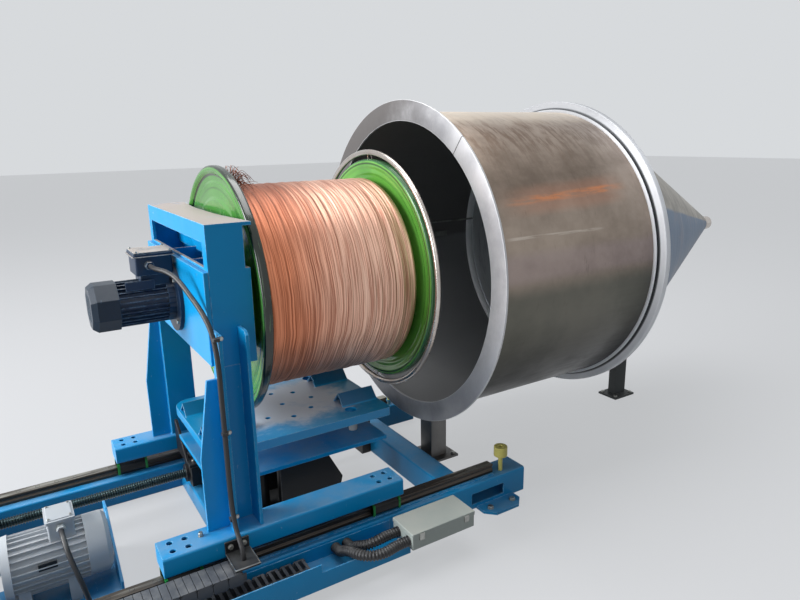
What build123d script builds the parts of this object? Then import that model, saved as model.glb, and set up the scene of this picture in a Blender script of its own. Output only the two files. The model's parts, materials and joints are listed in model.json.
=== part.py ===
# Wire pay-off machine for bobbins of 800 mm: a floor frame with two linear rails, a carriage
# with a cantilevered spindle head that carries the bobbin of copper wire, a lifting table
# between the rails, and the steel drum and cone that the wire is drawn off through.
# Millimetres, +Z up. X runs along the machine from the drive to the wire outlet, Y to the far side.
# The origin lies on the floor, on the machine's centre line, under the front leg of the drum.
import os
from itertools import product
from math import cos, pi, radians, sin, tan
from build123d import *

os.makedirs("parts", exist_ok=True)

# Clearances
seat_gap = 0.3            # between curved faces that seat on each other
running_fit = 0.05        # radial, between a shaft and its bore
guide_gap = 0.5           # between a guide block and its rail
shaft_clearance = 1.0     # radial, of the motor plate's hole
chain_gap = 6.0           # between the cable chain and the bracket that runs over it

# Spindle axis, bobbin and copper
axis_height = 835.0
bobbin_x = -815.0         # inner face of the left flange
flange_radius = 400.0
flange_width = 30.0
flange_web = 8.0
flange_dish = 10.0        # how far the web lies inside the rim's outer face
flange_rim = 15.0
rim_corner = 5.0
inner_length = 534.0      # between the two flanges
hub_radius = 92.0
barrel_radius = 200.0
copper_radius = 336.0
copper_start = 3.0
copper_end = 519.0
spindle_radius = 40.0
spindle_overhang = 95.0
drive_plate_length = 620.0
drive_plate_width = 230.0
drive_plate_thickness = 6.0

# Polished guide ring round the right flange
ring_clearance = 14.0
ring_tube = 10.0
ring_offset = 7.0         # of the ring's middle from the flange's inner face
ring_hook_width = 12.0
ring_hook_wire = 3.0
ring_hook_count = 6
ring_sides = 12

# Drum
mouth_x = -147.0
mouth_reach = 41.0        # of the mouth plate outside the shell
mouth_lap = 32.0          # and inside it
mouth_plate = 8.0
shell_radius = 563.0
shell_wall = 4.0
rear_ring_x = 616.0
rear_ring_reach = 43.0
rear_ring_width = 26.0
bead_width = 16.0
bead_reach = 14.0
cone_tip_x = 1731.0
cone_tip_radius = 42.0
cone_wall = 4.0
eyelet_radius = 34.0
eyelet_bore = 20.0
eyelet_length = 60.0
eyelet_collar = 6.0

# Drum legs
front_leg_size = 80.0
leg_wall = 5.0
leg_corner = 6.0
front_foot_width = 150.0
front_foot_right = 75.0
foot_plate = 10.0
rear_leg_x = 1154.0
rear_leg_length = 80.0
rear_leg_width = 40.0
rear_foot_length = 140.0
rear_foot_width = 110.0

# Floor frame
rail_y = 380.0
beam_width = 100.0
beam_wall = 6.0
beam_corner = 8.0
rail_beam_top = 100.0
frame_left = -1715.0
frame_right = 115.0
shoulder_width = 7.0      # the low shoulder that the profile rail is set against
shoulder_height = 4.0
window_left = -133.0      # access windows in the beams' outer walls
window_right = 15.0
window_bottom = 22.0
window_top = 64.0
window_corner = 3.0
end_foot_length = 170.0
end_foot_reach = 73.0      # of the foot plates outside the rail beams
end_foot_inset = 55.0     # from the beams' ends
end_foot_chamfer = 34.0
anchor_radius = 9.0
cross_width = 90.0
right_cross_x = -170.0    # middle of the right cross beam
middle_cross_x = -921.0
middle_cross_top = 75.0
left_cross_x = -1670.0
guide_width = 34.0
guide_height = 32.0
guide_foot = 10.0         # height of the profile rail's foot
guide_head = 6.0          # and of its head
guide_waist = 5.0
guide_right = -10.0
shoulder_gap = 8.0        # from the profile rail to the shoulder

# Lead screw and its drive
screw_y = 200.0
screw_height = 121.0
screw_radius = 18.0
screw_root = 14.5
bearing_length = 40.0
bearing_width = 80.0
bearing_top = 155.0
motor_y = -100.0
motor_height = 139.0
motor_radius = 90.0
motor_left = -1560.0
cowl_left = -1345.0
cowl_depth = 64.0
motor_base_thickness = 14.0
motor_base_width = 190.0
motor_guard_top = 180.0
motor_guard_front = 38.0  # height of the guard plate's front edge
motor_guard_slope = 206.0 # run of its sloping edge
motor_guard_ledge = 49.0  # length of its top edge
motor_guard_gap = 8.0

# Carriage
side_beam_left = -1186.0
side_beam_right = -422.0
side_beam_height = 60.0
side_beam_bottom = 160.0
block_length = 105.0
block_width = 70.0
block_inset = 2.0
block_lift = 8.0          # of the block's skirt over the rail beam
block_skirt = 8.0         # height of the taper under the skirt
block_waist = 30.0        # height of the block's full width
block_taper = 8.0
beam_hole_radius = 9.0
beam_hole_pitch = 42.0

# Columns and head of the carriage, heights from the spindle axis
column_x = -980.0         # left face of the column's left flange
column_web = 10.0
column_side = 350.0       # outer face of the web from the centre line
column_length = 100.0
flange_reach = 67.0
flange_pitch = 83.0       # outer faces of the two column flanges
flange_below = 25.0
blade_offset = 10.0       # of the tapered blade outside the web
blade_foot = 66.0
blade_top = 30.0
blade_knee_below = 390.0
blade_end_below = 160.0
column_chamfer = 12.0
head_below = 137.0
sill_above = 134.0
head_above = 261.0
head_left = -973.0
head_right = -856.0
head_back = -870.0
head_wall = 10.0
head_notch = -845.0       # ends of the top plate's hollow edge beside the bobbin
head_notch_depth = 27.0
head_window_half = 312.0
head_window_low = 7.0     # of the window over the sill
head_window_high = 76.0
rear_window_y = -100.0
rear_window_half = 110.0
rear_window_low = 33.0
rear_window_high = 77.0
rib_y = 120.0
motor_plate = 14.0
motor_plate_below = 130.0
housing_radius = 90.0
housing_flange = 112.0

# Spindle motor
motor_flange_radius = 107.0
motor_flange = 12.0
motor_flange_bolts = 92.0
motor_body_radius = 70.0
motor_body_length = 160.0
spindle_cowl_length = 78.0
spindle_cowl_radius = 71.0
fin_height = 10.0
fin_thickness = 3.0

# Lifting table
table_left = -985.0
table_right = -350.0
table_half_width = 243.0
table_drop = 45.0         # of the table's top below the bobbin's flange
table_thickness = 30.0
table_left_corner = 60.0
table_right_corner = 12.0
buffer_height = 88.0
buffer_radius = 16.0
buffer_inset = 83.0       # from the table's ends
buffer_y = 105.0
deck_half_width = 215.0
deck_inset = 5.0
deck_thickness = 14.0
v_block_length = 138.0
v_block_inset = 6.0         # from the ends of the table
v_block_y = 115.0
v_block_half = 40.0
v_block_height = 40.0
v_block_wall = 6.0
lift_x = -640.0
lift_drop = 55.0          # from the rest position to the lowest


def turned(points):
    """A body turned about the spindle axis from (x, radius) points."""
    with BuildPart() as body:
        with BuildSketch(Plane.XZ):
            with BuildLine():
                Polyline([(x, axis_height + r) for x, r in points], close=True)
            make_face()
        revolve(axis=Axis((0, 0, axis_height), (1, 0, 0)))
    return body.part


def bend_radii(points):
    """The largest arc at each corner of a cable's route that its two runs allow."""
    radii = []
    for before, corner, after in zip(points, points[1:], points[2:]):
        first = Vector(*corner) - Vector(*before)
        second = Vector(*after) - Vector(*corner)
        half_turn = radians(first.get_angle(second)) / 2
        radii.append(0.45 * min(first.length, second.length) / tan(half_turn))
    return radii


def cable(points, radius):
    """A cable's tube: straight runs between the points, joined by tangent arcs."""
    radii = bend_radii(points)
    print("bends", [round(r) for r in radii])
    with BuildPart() as tube:
        with BuildLine():
            path = FilletPolyline(*points, radius=radii)
        with BuildSketch(Plane(origin=points[0], z_dir=Vector(*points[1]) - Vector(*points[0]))):
            RegularPolygon(radius, cable_sides)
        sweep(path=path)
    return tube.part


def save(part, name):
    """Labels a finished piece and writes it to its own file."""
    part.label = name
    export_step(part, f"parts/{name}.step")


cable_sides = 8

# Floor frame: hollow rail beams with a profile rail on each, bolted down by foot plates
beam_inner = rail_y - beam_width / 2
beam_outer = rail_y + beam_width / 2
shoulder_y = rail_y + guide_width / 2 + shoulder_gap
end_foot_middles = (frame_left + end_foot_inset + end_foot_length / 2,
                    frame_right - end_foot_inset - end_foot_length / 2)

with BuildPart() as rail_beams:
    for side in (-1, 1):
        with BuildSketch(Plane.YZ.offset(frame_left)):
            with Locations((side * rail_y, rail_beam_top / 2)):
                RectangleRounded(beam_width, rail_beam_top, beam_corner)
                RectangleRounded(beam_width - 2 * beam_wall, rail_beam_top - 2 * beam_wall,
                                 beam_corner - beam_wall, mode=Mode.SUBTRACT)
        extrude(amount=frame_right - frame_left)
        with BuildSketch(Plane.YZ.offset(frame_left + foot_plate)):
            with Locations((side * (shoulder_y + shoulder_width / 2), rail_beam_top + shoulder_height / 2)):
                Rectangle(shoulder_width, shoulder_height)
        extrude(amount=guide_right - foot_plate - (frame_left + foot_plate))
        for x in end_foot_middles:
            with BuildSketch(Plane.XY) as foot:
                with Locations((x, side * (beam_outer + end_foot_reach / 2 - beam_wall))):
                    Rectangle(end_foot_length, end_foot_reach + 2 * beam_wall)
                chamfer(foot.vertices().group_by(Axis.Y)[0 if side < 0 else -1], end_foot_chamfer)
                with Locations((x, side * (beam_outer + end_foot_reach / 2))):
                    with GridLocations(end_foot_length - 2 * end_foot_chamfer, 1, 2, 1):
                        Circle(anchor_radius, mode=Mode.SUBTRACT)
            extrude(amount=foot_plate)
        with BuildSketch(Plane.XZ.offset(-side * beam_outer - 2 * beam_wall)):
            with Locations(((window_left + window_right) / 2, (window_bottom + window_top) / 2)):
                RectangleRounded(window_right - window_left, window_top - window_bottom, window_corner)
        extrude(amount=4 * beam_wall, mode=Mode.SUBTRACT)
save(rail_beams.part, "rail_beams")

with BuildPart() as guide_rails:
    for side in (-1, 1):
        with BuildSketch(Plane.YZ.offset(frame_left + foot_plate)):
            with BuildLine():
                half = guide_width / 2
                waist = half - guide_waist
                low = rail_beam_top
                top = rail_beam_top + guide_height
                y = side * rail_y
                foot = low + guide_foot
                head = top - guide_head
                Polyline((y - half, low), (y + half, low), (y + half, foot), (y + waist, foot + guide_waist),
                         (y + waist, head - guide_waist), (y + half, head), (y + half, top), (y - half, top),
                         (y - half, head), (y - waist, head - guide_waist), (y - waist, foot + guide_waist),
                         (y - half, foot), close=True)
            make_face()
        extrude(amount=guide_right - frame_left - foot_plate)
save(guide_rails.part, "guide_rails")


def cross_beam(x, top):
    """A hollow beam between the two rail beams."""
    with BuildPart() as built:
        with BuildSketch(Plane.XZ.offset(-beam_inner)):
            with Locations((x, top / 2)):
                RectangleRounded(cross_width, top, beam_corner)
                RectangleRounded(cross_width - 2 * beam_wall, top - 2 * beam_wall,
                                 beam_corner - beam_wall, mode=Mode.SUBTRACT)
        extrude(amount=2 * beam_inner)
    return built.part


save(cross_beam(right_cross_x, rail_beam_top), "right_cross_beam")
save(cross_beam(left_cross_x, rail_beam_top), "left_cross_beam")
save(cross_beam(middle_cross_x, middle_cross_top), "middle_cross_beam")

# Lead screw between two bearing blocks on the cross beams
screw_left = frame_left - 40
screw_right = right_cross_x - cross_width / 2
left_bearing_x = left_cross_x + cross_width / 2
right_bearing_x = screw_right - bearing_length
screw_shoulder = 5.0
with BuildPart() as lead_screw:
    with BuildSketch(Plane.YZ.offset(screw_left)):
        with Locations((screw_y, screw_height)):
            Circle(screw_root)
    extrude(amount=screw_right - screw_left - screw_shoulder)
    with BuildSketch(Plane.YZ.offset(left_bearing_x + bearing_length + screw_shoulder)):
        with Locations((screw_y, screw_height)):
            Circle(screw_radius)
    extrude(amount=right_bearing_x - screw_shoulder - (left_bearing_x + bearing_length + screw_shoulder))
save(lead_screw.part, "lead_screw")

with BuildPart() as screw_bearings:
    for x in (left_bearing_x, right_bearing_x):
        with BuildSketch(Plane.YZ.offset(x)):
            with Locations((screw_y, bearing_top / 2)):
                RectangleRounded(bearing_width, bearing_top, beam_corner)
            with Locations((screw_y, screw_height)):
                Circle(screw_root + running_fit, mode=Mode.SUBTRACT)
        extrude(amount=bearing_length)
save(screw_bearings.part, "screw_bearings")

# Motor base with a slanted guard plate at its right end
motor_base_left = left_cross_x + cross_width / 2
motor_base_right = cowl_left + cowl_depth + 2 * motor_guard_gap
guard_front = motor_y - motor_base_width / 2
guard_back = guard_front + motor_guard_slope + motor_guard_ledge
with BuildPart() as motor_base:
    with BuildSketch(Plane.XY):
        with Locations(((motor_base_left + motor_base_right) / 2, motor_y)):
            Rectangle(motor_base_right - motor_base_left, motor_base_width)
    extrude(amount=motor_base_thickness)
    with BuildSketch(Plane.YZ.offset(motor_base_right - motor_guard_gap)):
        with BuildLine():
            Polyline((guard_front, 0), (guard_back, 0), (guard_back, motor_guard_top),
                     (guard_back - motor_guard_ledge, motor_guard_top), (guard_front, motor_guard_front),
                     close=True)
        make_face()
    extrude(amount=motor_guard_gap)
save(motor_base.part, "motor_base")


def finned_body(left, right, y, z, radius, count):
    """A cast motor body with cooling fins along it."""
    with BuildPart() as built:
        with BuildSketch(Plane.YZ.offset(left)):
            with Locations((y, z)):
                Circle(radius - fin_height)
                with PolarLocations(radius - fin_height / 2 - 1, count):
                    Rectangle(fin_height + 2, fin_thickness)
        extrude(amount=right - left)
    return built.part


end_bell = 22.0
end_bell_taper = 8.0
motor_fin_count = 28
drive_box_x = cowl_left - 57.0
drive_box_length = 70.0
drive_box_width = 92.0
drive_box_rise = 41.0     # of the box over the motor
motor_box_lid = 8.0
motor_box_lap = 4.0       # of the lid round the box
motor_box_corner = 6.0
gland_radius = 12.0
gland_length = 18.0
motor_foot_length = 30.0
motor_foot_width = 150.0
motor_foot_inset = 45.0
belt_shaft_radius = 14.0
drive_box_top = motor_height + motor_radius + drive_box_rise
drive_gland_height = drive_box_top - motor_box_lid - 1.5 * gland_radius
with BuildPart() as drive_motor:
    add(finned_body(motor_left + end_bell, cowl_left, motor_y, motor_height, motor_radius, motor_fin_count))
    with BuildSketch(Plane.YZ.offset(motor_left)):
        with Locations((motor_y, motor_height)):
            Circle(motor_radius)
    extrude(amount=end_bell, taper=-end_bell_taper)
    with BuildSketch(Plane.XY.offset(motor_base_thickness)):
        for x in (motor_left + motor_foot_inset, cowl_left - motor_foot_inset):
            with Locations((x, motor_y)):
                Rectangle(motor_foot_length, motor_foot_width)
    extrude(amount=motor_height - motor_radius / 2 - motor_base_thickness)
    with BuildSketch(Plane.XY.offset(motor_height + motor_radius / 2)):
        with Locations((drive_box_x, motor_y)):
            RectangleRounded(drive_box_length, drive_box_width, motor_box_corner)
    extrude(amount=drive_box_top - motor_box_lid - (motor_height + motor_radius / 2))
    with BuildSketch(Plane.XY.offset(drive_box_top - motor_box_lid)):
        with Locations((drive_box_x, motor_y)):
            RectangleRounded(drive_box_length + 2 * motor_box_lap, drive_box_width + 2 * motor_box_lap,
                             motor_box_corner)
    extrude(amount=motor_box_lid)
    with BuildSketch(Plane.XZ.offset(-(motor_y - drive_box_width / 2))):
        with Locations((drive_box_x, drive_gland_height)):
            RegularPolygon(gland_radius, 6)
    extrude(amount=gland_length)
    with BuildSketch(Plane.YZ.offset(screw_left)):
        with Locations((motor_y, motor_height)):
            Circle(belt_shaft_radius)
    extrude(amount=motor_left - screw_left)
save(drive_motor.part, "drive_motor")

cowl_slots = 12
cowl_chamfer = 12.0
cowl_slot_width = 5.0
cowl_slot_depth = 4.0
cowl_slot_ring = 0.55 * motor_radius
cowl_slot_length = 0.4 * motor_radius
with BuildPart() as drive_motor_cowl:
    with BuildSketch(Plane.YZ.offset(cowl_left)):
        with Locations((motor_y, motor_height)):
            Circle(motor_radius)
    extrude(amount=cowl_depth)
    chamfer(drive_motor_cowl.faces().sort_by(Axis.X)[-1].edges(), cowl_chamfer)
    with BuildSketch(Plane.YZ.offset(cowl_left + cowl_depth - cowl_slot_depth)):
        with Locations((motor_y, motor_height)):
            with PolarLocations(cowl_slot_ring, cowl_slots):
                Rectangle(cowl_slot_length, cowl_slot_width)
    extrude(amount=cowl_slot_depth, mode=Mode.SUBTRACT)
save(drive_motor_cowl.part, "drive_motor_cowl")

guard_depth = 50.0
guard_wall = 3.0
guard_corner = 60.0
guard_margin = 90.0
guard_low = 55.0
guard_high = 205.0
with BuildPart() as belt_guard:
    with BuildSketch(Plane.YZ.offset(frame_left - guard_depth)):
        with Locations(((screw_y + motor_y) / 2, (guard_low + guard_high) / 2)):
            RectangleRounded(screw_y - motor_y + 2 * guard_margin, guard_high - guard_low, guard_corner)
    extrude(amount=guard_depth)
    with BuildSketch(Plane.YZ.offset(frame_left - guard_depth + guard_wall)):
        with Locations(((screw_y + motor_y) / 2, (guard_low + guard_high) / 2)):
            RectangleRounded(screw_y - motor_y + 2 * (guard_margin - guard_wall),
                             guard_high - guard_low - 2 * guard_wall, guard_corner - guard_wall)
    extrude(amount=guard_depth - guard_wall, mode=Mode.SUBTRACT)
save(belt_guard.part, "belt_guard")

# Chain tray, bolted to the near rail beam by its back wall
tray_inner = -beam_outer
tray_outer = -560.0
tray_wall = 4.0
tray_bottom = 42.0
tray_back_height = 90.0
tray_height = 97.0
tray_lip_height = 123.0
tray_right = -480.0
lip_right = -783.0
with BuildPart() as chain_tray:
    with BuildSketch(Plane.YZ.offset(frame_left)):
        with BuildLine():
            Polyline((tray_inner, tray_back_height), (tray_inner, tray_bottom), (tray_outer, tray_bottom),
                     (tray_outer, tray_height), (tray_outer + tray_wall, tray_height),
                     (tray_outer + tray_wall, tray_bottom + tray_wall),
                     (tray_inner - tray_wall, tray_bottom + tray_wall),
                     (tray_inner - tray_wall, tray_back_height), close=True)
        make_face()
    extrude(amount=tray_right - frame_left)
    with BuildSketch(Plane.XY.offset(tray_height)):
        with Locations(((frame_left + lip_right) / 2, tray_outer + tray_wall / 2)):
            Rectangle(lip_right - frame_left, tray_wall)
    extrude(amount=tray_lip_height - tray_height)
save(chain_tray.part, "chain_tray")

# The cable chain: links along a lower run, a bend and an upper run
chain_y = -487.0
chain_width = 76.0
chain_height = 36.0
link_pitch = 42.0
link_gap = 2.0
link_wall = 6.0
tile_thickness = 3.0
link_corner = 5.0
tile_gap = 1.5            # between the outer tiles, two to a link
bar_length = 9.0          # of the inner bars
tongue_height = 22.0
tongue_lap = 9.0
bend_links = 3
lower_links = 19
upper_links = 14
chain_fixed_end = -790.0
half_turn = radians(90 / bend_links)
pin_radius = link_pitch / 2 / sin(half_turn)      # of the link pins round the bend
chain_bend = pin_radius * cos(half_turn)
lower_chain = tray_bottom + tray_wall + chain_height / 2
upper_chain = lower_chain + 2 * pin_radius
chain_bend_x = chain_fixed_end - lower_links * link_pitch
chain_top = upper_chain + chain_height / 2

with BuildPart() as chain_link:
    body = link_pitch - link_gap
    for side in (-1, 1):
        with BuildSketch(Plane.XZ.offset(-side * (chain_width - link_wall) / 2)):
            with Locations((0, -tile_thickness / 2)):
                outline = Rectangle(body, chain_height - tile_thickness)
            chamfer(outline.vertices(), link_corner)
        extrude(amount=link_wall / 2, both=True)
        with BuildSketch(Plane.XZ.offset(-side * (chain_width / 2 - link_wall))):
            with Locations((link_pitch / 2, 0)):
                Rectangle(link_gap + 2 * tongue_lap, tongue_height)
        extrude(amount=link_wall / 4, both=True)
    for x in (-link_pitch / 4, link_pitch / 4):
        with BuildSketch(Plane.XY.offset(chain_height / 2 - tile_thickness)):
            with Locations((x, 0)):
                Rectangle(link_pitch / 2 - tile_gap, chain_width)
        extrude(amount=tile_thickness)
        with BuildSketch(Plane.XY.offset(-chain_height / 2)):
            with Locations((x, 0)):
                Rectangle(bar_length, chain_width - link_wall)
        extrude(amount=tile_thickness)

lower_places = [Location((chain_fixed_end - (k + 0.5) * link_pitch, chain_y, lower_chain), (0, 180, 0))
                for k in range(lower_links)]
upper_places = [Location((chain_bend_x + (k + 0.5) * link_pitch, chain_y, upper_chain))
                for k in range(upper_links)]
bend_places = []
for k in range(bend_links):
    turn = (2 * k + 1) * 90 / bend_links
    middle = (chain_bend_x - chain_bend * sin(radians(turn)), chain_y,
              lower_chain + pin_radius - chain_bend * cos(radians(turn)))
    bend_places.append(Location(middle, (0, 180 + turn, 0)))
with BuildPart() as cable_chain:
    with Locations(*lower_places, *bend_places, *upper_places):
        add(chain_link.part)
save(cable_chain.part, "cable_chain")

# Junction box on the tray's end
box_left = -512.0
box_right = -274.0
box_near = -622.0
box_far = -506.0
box_top = 151.0
lid_thickness = 14.0
lid_lap = 1.5
box_corner = 3.0
lid_chamfer = 1.5
with BuildPart() as junction_box:
    with BuildSketch(Plane.XY.offset(tray_height)):
        with Locations(((box_left + box_right) / 2, (box_near + box_far) / 2)):
            RectangleRounded(box_right - box_left - 2 * lid_lap, box_far - box_near - 2 * lid_lap, box_corner)
    extrude(amount=box_top - lid_thickness - tray_height)
    with BuildSketch(Plane.XY.offset(box_top - lid_thickness)):
        with Locations(((box_left + box_right) / 2, (box_near + box_far) / 2)):
            RectangleRounded(box_right - box_left, box_far - box_near, box_corner)
    extrude(amount=lid_thickness)
    chamfer(junction_box.faces().sort_by(Axis.Z)[-1].edges(), lid_chamfer)
save(junction_box.part, "junction_box")

# The two conduits loop from the box round to the rail beam
conduit_radius = 16.0
conduit_height = 118.0
conduit_end = 70.0
conduit_seat = tray_inner - tray_wall
box_face = box_left + lid_lap
far_conduit = [(box_face, -537, conduit_height), (-552, -537, conduit_height), (-592, -541, 116),
               (-624, -531, 108), (-640, -502, 95), (-642, -468, conduit_end),
               (-642, conduit_seat, conduit_end)]
near_conduit = [(box_face, -596, conduit_height), (-554, -596, conduit_height), (-594, -608, 119),
                (-634, -603, 118), (-664, -579, 118), (-679, -544, 116), (-682, -506, 99),
                (-682, -468, conduit_end), (-682, conduit_seat, conduit_end)]
save(cable(far_conduit, conduit_radius), "far_conduit")
save(cable(near_conduit, conduit_radius), "near_conduit")

# Drive motor's cable, from its gland down to the near rail beam
cable_radius = 7.0
gland_face = motor_y - drive_box_width / 2 - gland_length
drive_cable = [(drive_box_x, gland_face, drive_gland_height),
               (drive_box_x, gland_face - 34, drive_gland_height), (drive_box_x + 4, -228, 222),
               (-1391, -250, 188), (-1381, -266, 150), (-1372, -278, 112), (-1365, -286, 78),
               (-1362, -304, 54), (-1362, -beam_inner, 54)]
save(cable(drive_cable, cable_radius), "drive_motor_cable")

# End stops beside the rails' right ends
stop_x = 23.0
stop_y = 400.0
stop_radius = 25.0
stop_post_radius = 8.0
stop_low = 160.0
stop_high = 198.0
stop_bore_depth = 20.0
with BuildPart() as end_stops:
    for side in (-1, 1):
        with BuildSketch(Plane.XY.offset(rail_beam_top)):
            with Locations((stop_x, side * stop_y)):
                Circle(stop_post_radius)
        extrude(amount=stop_low - rail_beam_top)
        with BuildSketch(Plane.XY.offset(stop_low)):
            with Locations((stop_x, side * stop_y)):
                Circle(stop_radius)
        extrude(amount=stop_high - stop_low)
        with BuildSketch(Plane.XY.offset(stop_high - stop_bore_depth)):
            with Locations((stop_x, side * stop_y)):
                Circle(stop_post_radius)
        extrude(amount=stop_bore_depth, mode=Mode.SUBTRACT)
save(end_stops.part, "end_stops")

# Lift base: plate on the floor, cheeks, cylinder and two guide sleeves
lift_base_left = middle_cross_x + cross_width / 2
lift_base_right = -480.0
lift_base_width = 260.0
lift_plate = 12.0
cheek_y = 94.0
cheek_left = -720.0
cheek_right = -500.0
cheek_bulge = 20.0        # of the cheeks' right edge at half height
cheek_slope = 30.0        # and its lean at the top
cheek_gap = 13.0          # to the lowered deck
cylinder_gap = 18.0
cylinder_radius = 55.0
rod_radius = 28.0
guide_rod_radius = 15.0
guide_rod_pitch = 240.0
sleeve_radius = 28.0
table_top = axis_height - flange_radius - table_drop
table_bottom = table_top - table_thickness
deck_top = table_bottom - buffer_height
deck_bottom = deck_top - deck_thickness
cheek_top = deck_bottom - lift_drop - cheek_gap
cylinder_top = deck_bottom - lift_drop - cylinder_gap
rod_bottom = cylinder_top - lift_drop
with BuildPart() as lift_base:
    with BuildSketch(Plane.XY):
        with Locations(((lift_base_left + lift_base_right) / 2, 0)):
            Rectangle(lift_base_right - lift_base_left, lift_base_width)
    extrude(amount=lift_plate)
    for side in (-1, 1):
        with BuildSketch(Plane.XZ.offset(-side * cheek_y)):
            with BuildLine():
                Polyline((cheek_left, lift_plate), (cheek_right, lift_plate),
                         (cheek_right + cheek_bulge, cheek_top / 2), (cheek_right - cheek_slope, cheek_top),
                         (cheek_left, cheek_top), close=True)
            make_face()
        extrude(amount=head_wall / 2, both=True)
    with BuildSketch(Plane.XY.offset(lift_plate)):
        with Locations((lift_x, 0)):
            Circle(cylinder_radius)
        with Locations((lift_x - guide_rod_pitch / 2, 0), (lift_x + guide_rod_pitch / 2, 0)):
            Circle(sleeve_radius)
    extrude(amount=cylinder_top - lift_plate)
    with BuildSketch(Plane.XY.offset(cylinder_top)):
        with Locations((lift_x, 0)):
            Circle(rod_radius + running_fit)
        with Locations((lift_x - guide_rod_pitch / 2, 0), (lift_x + guide_rod_pitch / 2, 0)):
            Circle(guide_rod_radius + running_fit)
    extrude(amount=-(cylinder_top - lift_plate), mode=Mode.SUBTRACT)
save(lift_base.part, "lift_base")

# Drum: mouth flange, shell, rear ring with its bead, cone and its eyelet
mouth_back = mouth_x + mouth_plate
cone_x = rear_ring_x + rear_ring_width
shell_inner = shell_radius - shell_wall
save(turned([(mouth_x, shell_radius - mouth_lap), (mouth_x, shell_radius + mouth_reach),
             (mouth_back, shell_radius + mouth_reach), (mouth_back, shell_radius - mouth_lap)]),
     "drum_mouth_flange")
save(turned([(mouth_back, shell_inner), (mouth_back, shell_radius), (rear_ring_x - bead_width, shell_radius),
             (rear_ring_x - bead_width, shell_inner)]), "drum_shell")
save(turned([(rear_ring_x - bead_width, shell_inner),
             (rear_ring_x - bead_width, shell_radius + bead_reach / 2),
             (rear_ring_x - 0.75 * bead_width, shell_radius + bead_reach),
             (rear_ring_x - 0.25 * bead_width, shell_radius + bead_reach), (rear_ring_x, shell_radius),
             (rear_ring_x, shell_radius + rear_ring_reach), (cone_x, shell_radius + rear_ring_reach),
             (cone_x, shell_inner)]), "drum_rear_ring")
cone_slope = (shell_radius - cone_tip_radius) / (cone_tip_x - cone_x)
save(turned([(cone_x, shell_radius - cone_wall), (cone_x, shell_radius), (cone_tip_x, cone_tip_radius),
             (cone_tip_x, cone_tip_radius - cone_wall)]), "outlet_cone")
save(turned([(cone_tip_x, eyelet_bore), (cone_tip_x, cone_tip_radius),
             (cone_tip_x + eyelet_collar, cone_tip_radius),
             (cone_tip_x + eyelet_collar, eyelet_radius), (cone_tip_x + eyelet_length, eyelet_radius),
             (cone_tip_x + eyelet_length, eyelet_bore)]), "outlet_eyelet")

# Drum legs, each saddled to the sheet above it
front_leg_top = axis_height - shell_radius
front_foot_left = right_cross_x + cross_width / 2
saddle = 10.0
with BuildPart() as drum_front_leg:
    with BuildSketch(Plane.XY):
        with Locations(((front_foot_left + front_foot_right) / 2, 0)):
            Rectangle(front_foot_right - front_foot_left, front_foot_width)
    extrude(amount=foot_plate)
    with BuildSketch(Plane.XY.offset(foot_plate)):
        RectangleRounded(front_leg_size, front_leg_size, leg_corner)
        RectangleRounded(front_leg_size - 2 * leg_wall, front_leg_size - 2 * leg_wall, leg_corner - leg_wall,
                         mode=Mode.SUBTRACT)
    extrude(amount=front_leg_top + saddle - foot_plate)
    with BuildSketch(Plane.YZ.offset(-front_leg_size)):
        with Locations((0, axis_height)):
            Circle(shell_radius + seat_gap)
    extrude(amount=2 * front_leg_size, mode=Mode.SUBTRACT)
save(drum_front_leg.part, "drum_front_leg")

rear_leg_top = axis_height - shell_radius + (rear_leg_x - cone_x) * cone_slope
with BuildPart() as drum_rear_leg:
    with BuildSketch(Plane.XY):
        with Locations((rear_leg_x, 0)):
            Rectangle(rear_foot_length, rear_foot_width)
    extrude(amount=foot_plate)
    with BuildSketch(Plane.XY.offset(foot_plate)):
        with Locations((rear_leg_x, 0)):
            Rectangle(rear_leg_length, rear_leg_width)
            Rectangle(rear_leg_length - 2 * leg_wall, rear_leg_width - 2 * leg_wall, mode=Mode.SUBTRACT)
    extrude(amount=rear_leg_top + 4 * saddle - foot_plate)
    with BuildSketch(Plane.XZ):
        with BuildLine():
            Polyline((cone_x, axis_height), (cone_x, axis_height - shell_radius - seat_gap),
                     (cone_tip_x, axis_height - cone_tip_radius - seat_gap), (cone_tip_x, axis_height),
                     close=True)
        make_face()
    revolve(axis=Axis((0, 0, axis_height), (1, 0, 0)), mode=Mode.SUBTRACT)
save(drum_rear_leg.part, "drum_rear_leg")

# Carriage: closed side beams on guide blocks
side_beam_top = side_beam_bottom + side_beam_height
block_middles = (side_beam_left + block_inset + block_length / 2,
                 side_beam_right - block_inset - block_length / 2)
with BuildPart() as side_beams:
    for side in (-1, 1):
        with BuildSketch(Plane.YZ.offset(side_beam_left)):
            with Locations((side * rail_y, (side_beam_bottom + side_beam_top) / 2)):
                RectangleRounded(beam_width, side_beam_height, beam_corner)
        extrude(amount=side_beam_right - side_beam_left)
        with BuildSketch(Plane.YZ.offset(side_beam_left + beam_wall)):
            with Locations((side * rail_y, (side_beam_bottom + side_beam_top) / 2)):
                Rectangle(beam_width - 2 * beam_wall, side_beam_height - 2 * beam_wall)
        extrude(amount=side_beam_right - side_beam_left - 2 * beam_wall, mode=Mode.SUBTRACT)
        for x in block_middles:
            with BuildSketch(Plane.XY.offset(side_beam_top - 2 * beam_wall)):
                with Locations((x, side * rail_y)):
                    with GridLocations(beam_hole_pitch, beam_hole_pitch, 2, 2):
                        Circle(beam_hole_radius)
            extrude(amount=2 * beam_wall, mode=Mode.SUBTRACT)
save(side_beams.part, "side_beams")

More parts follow.
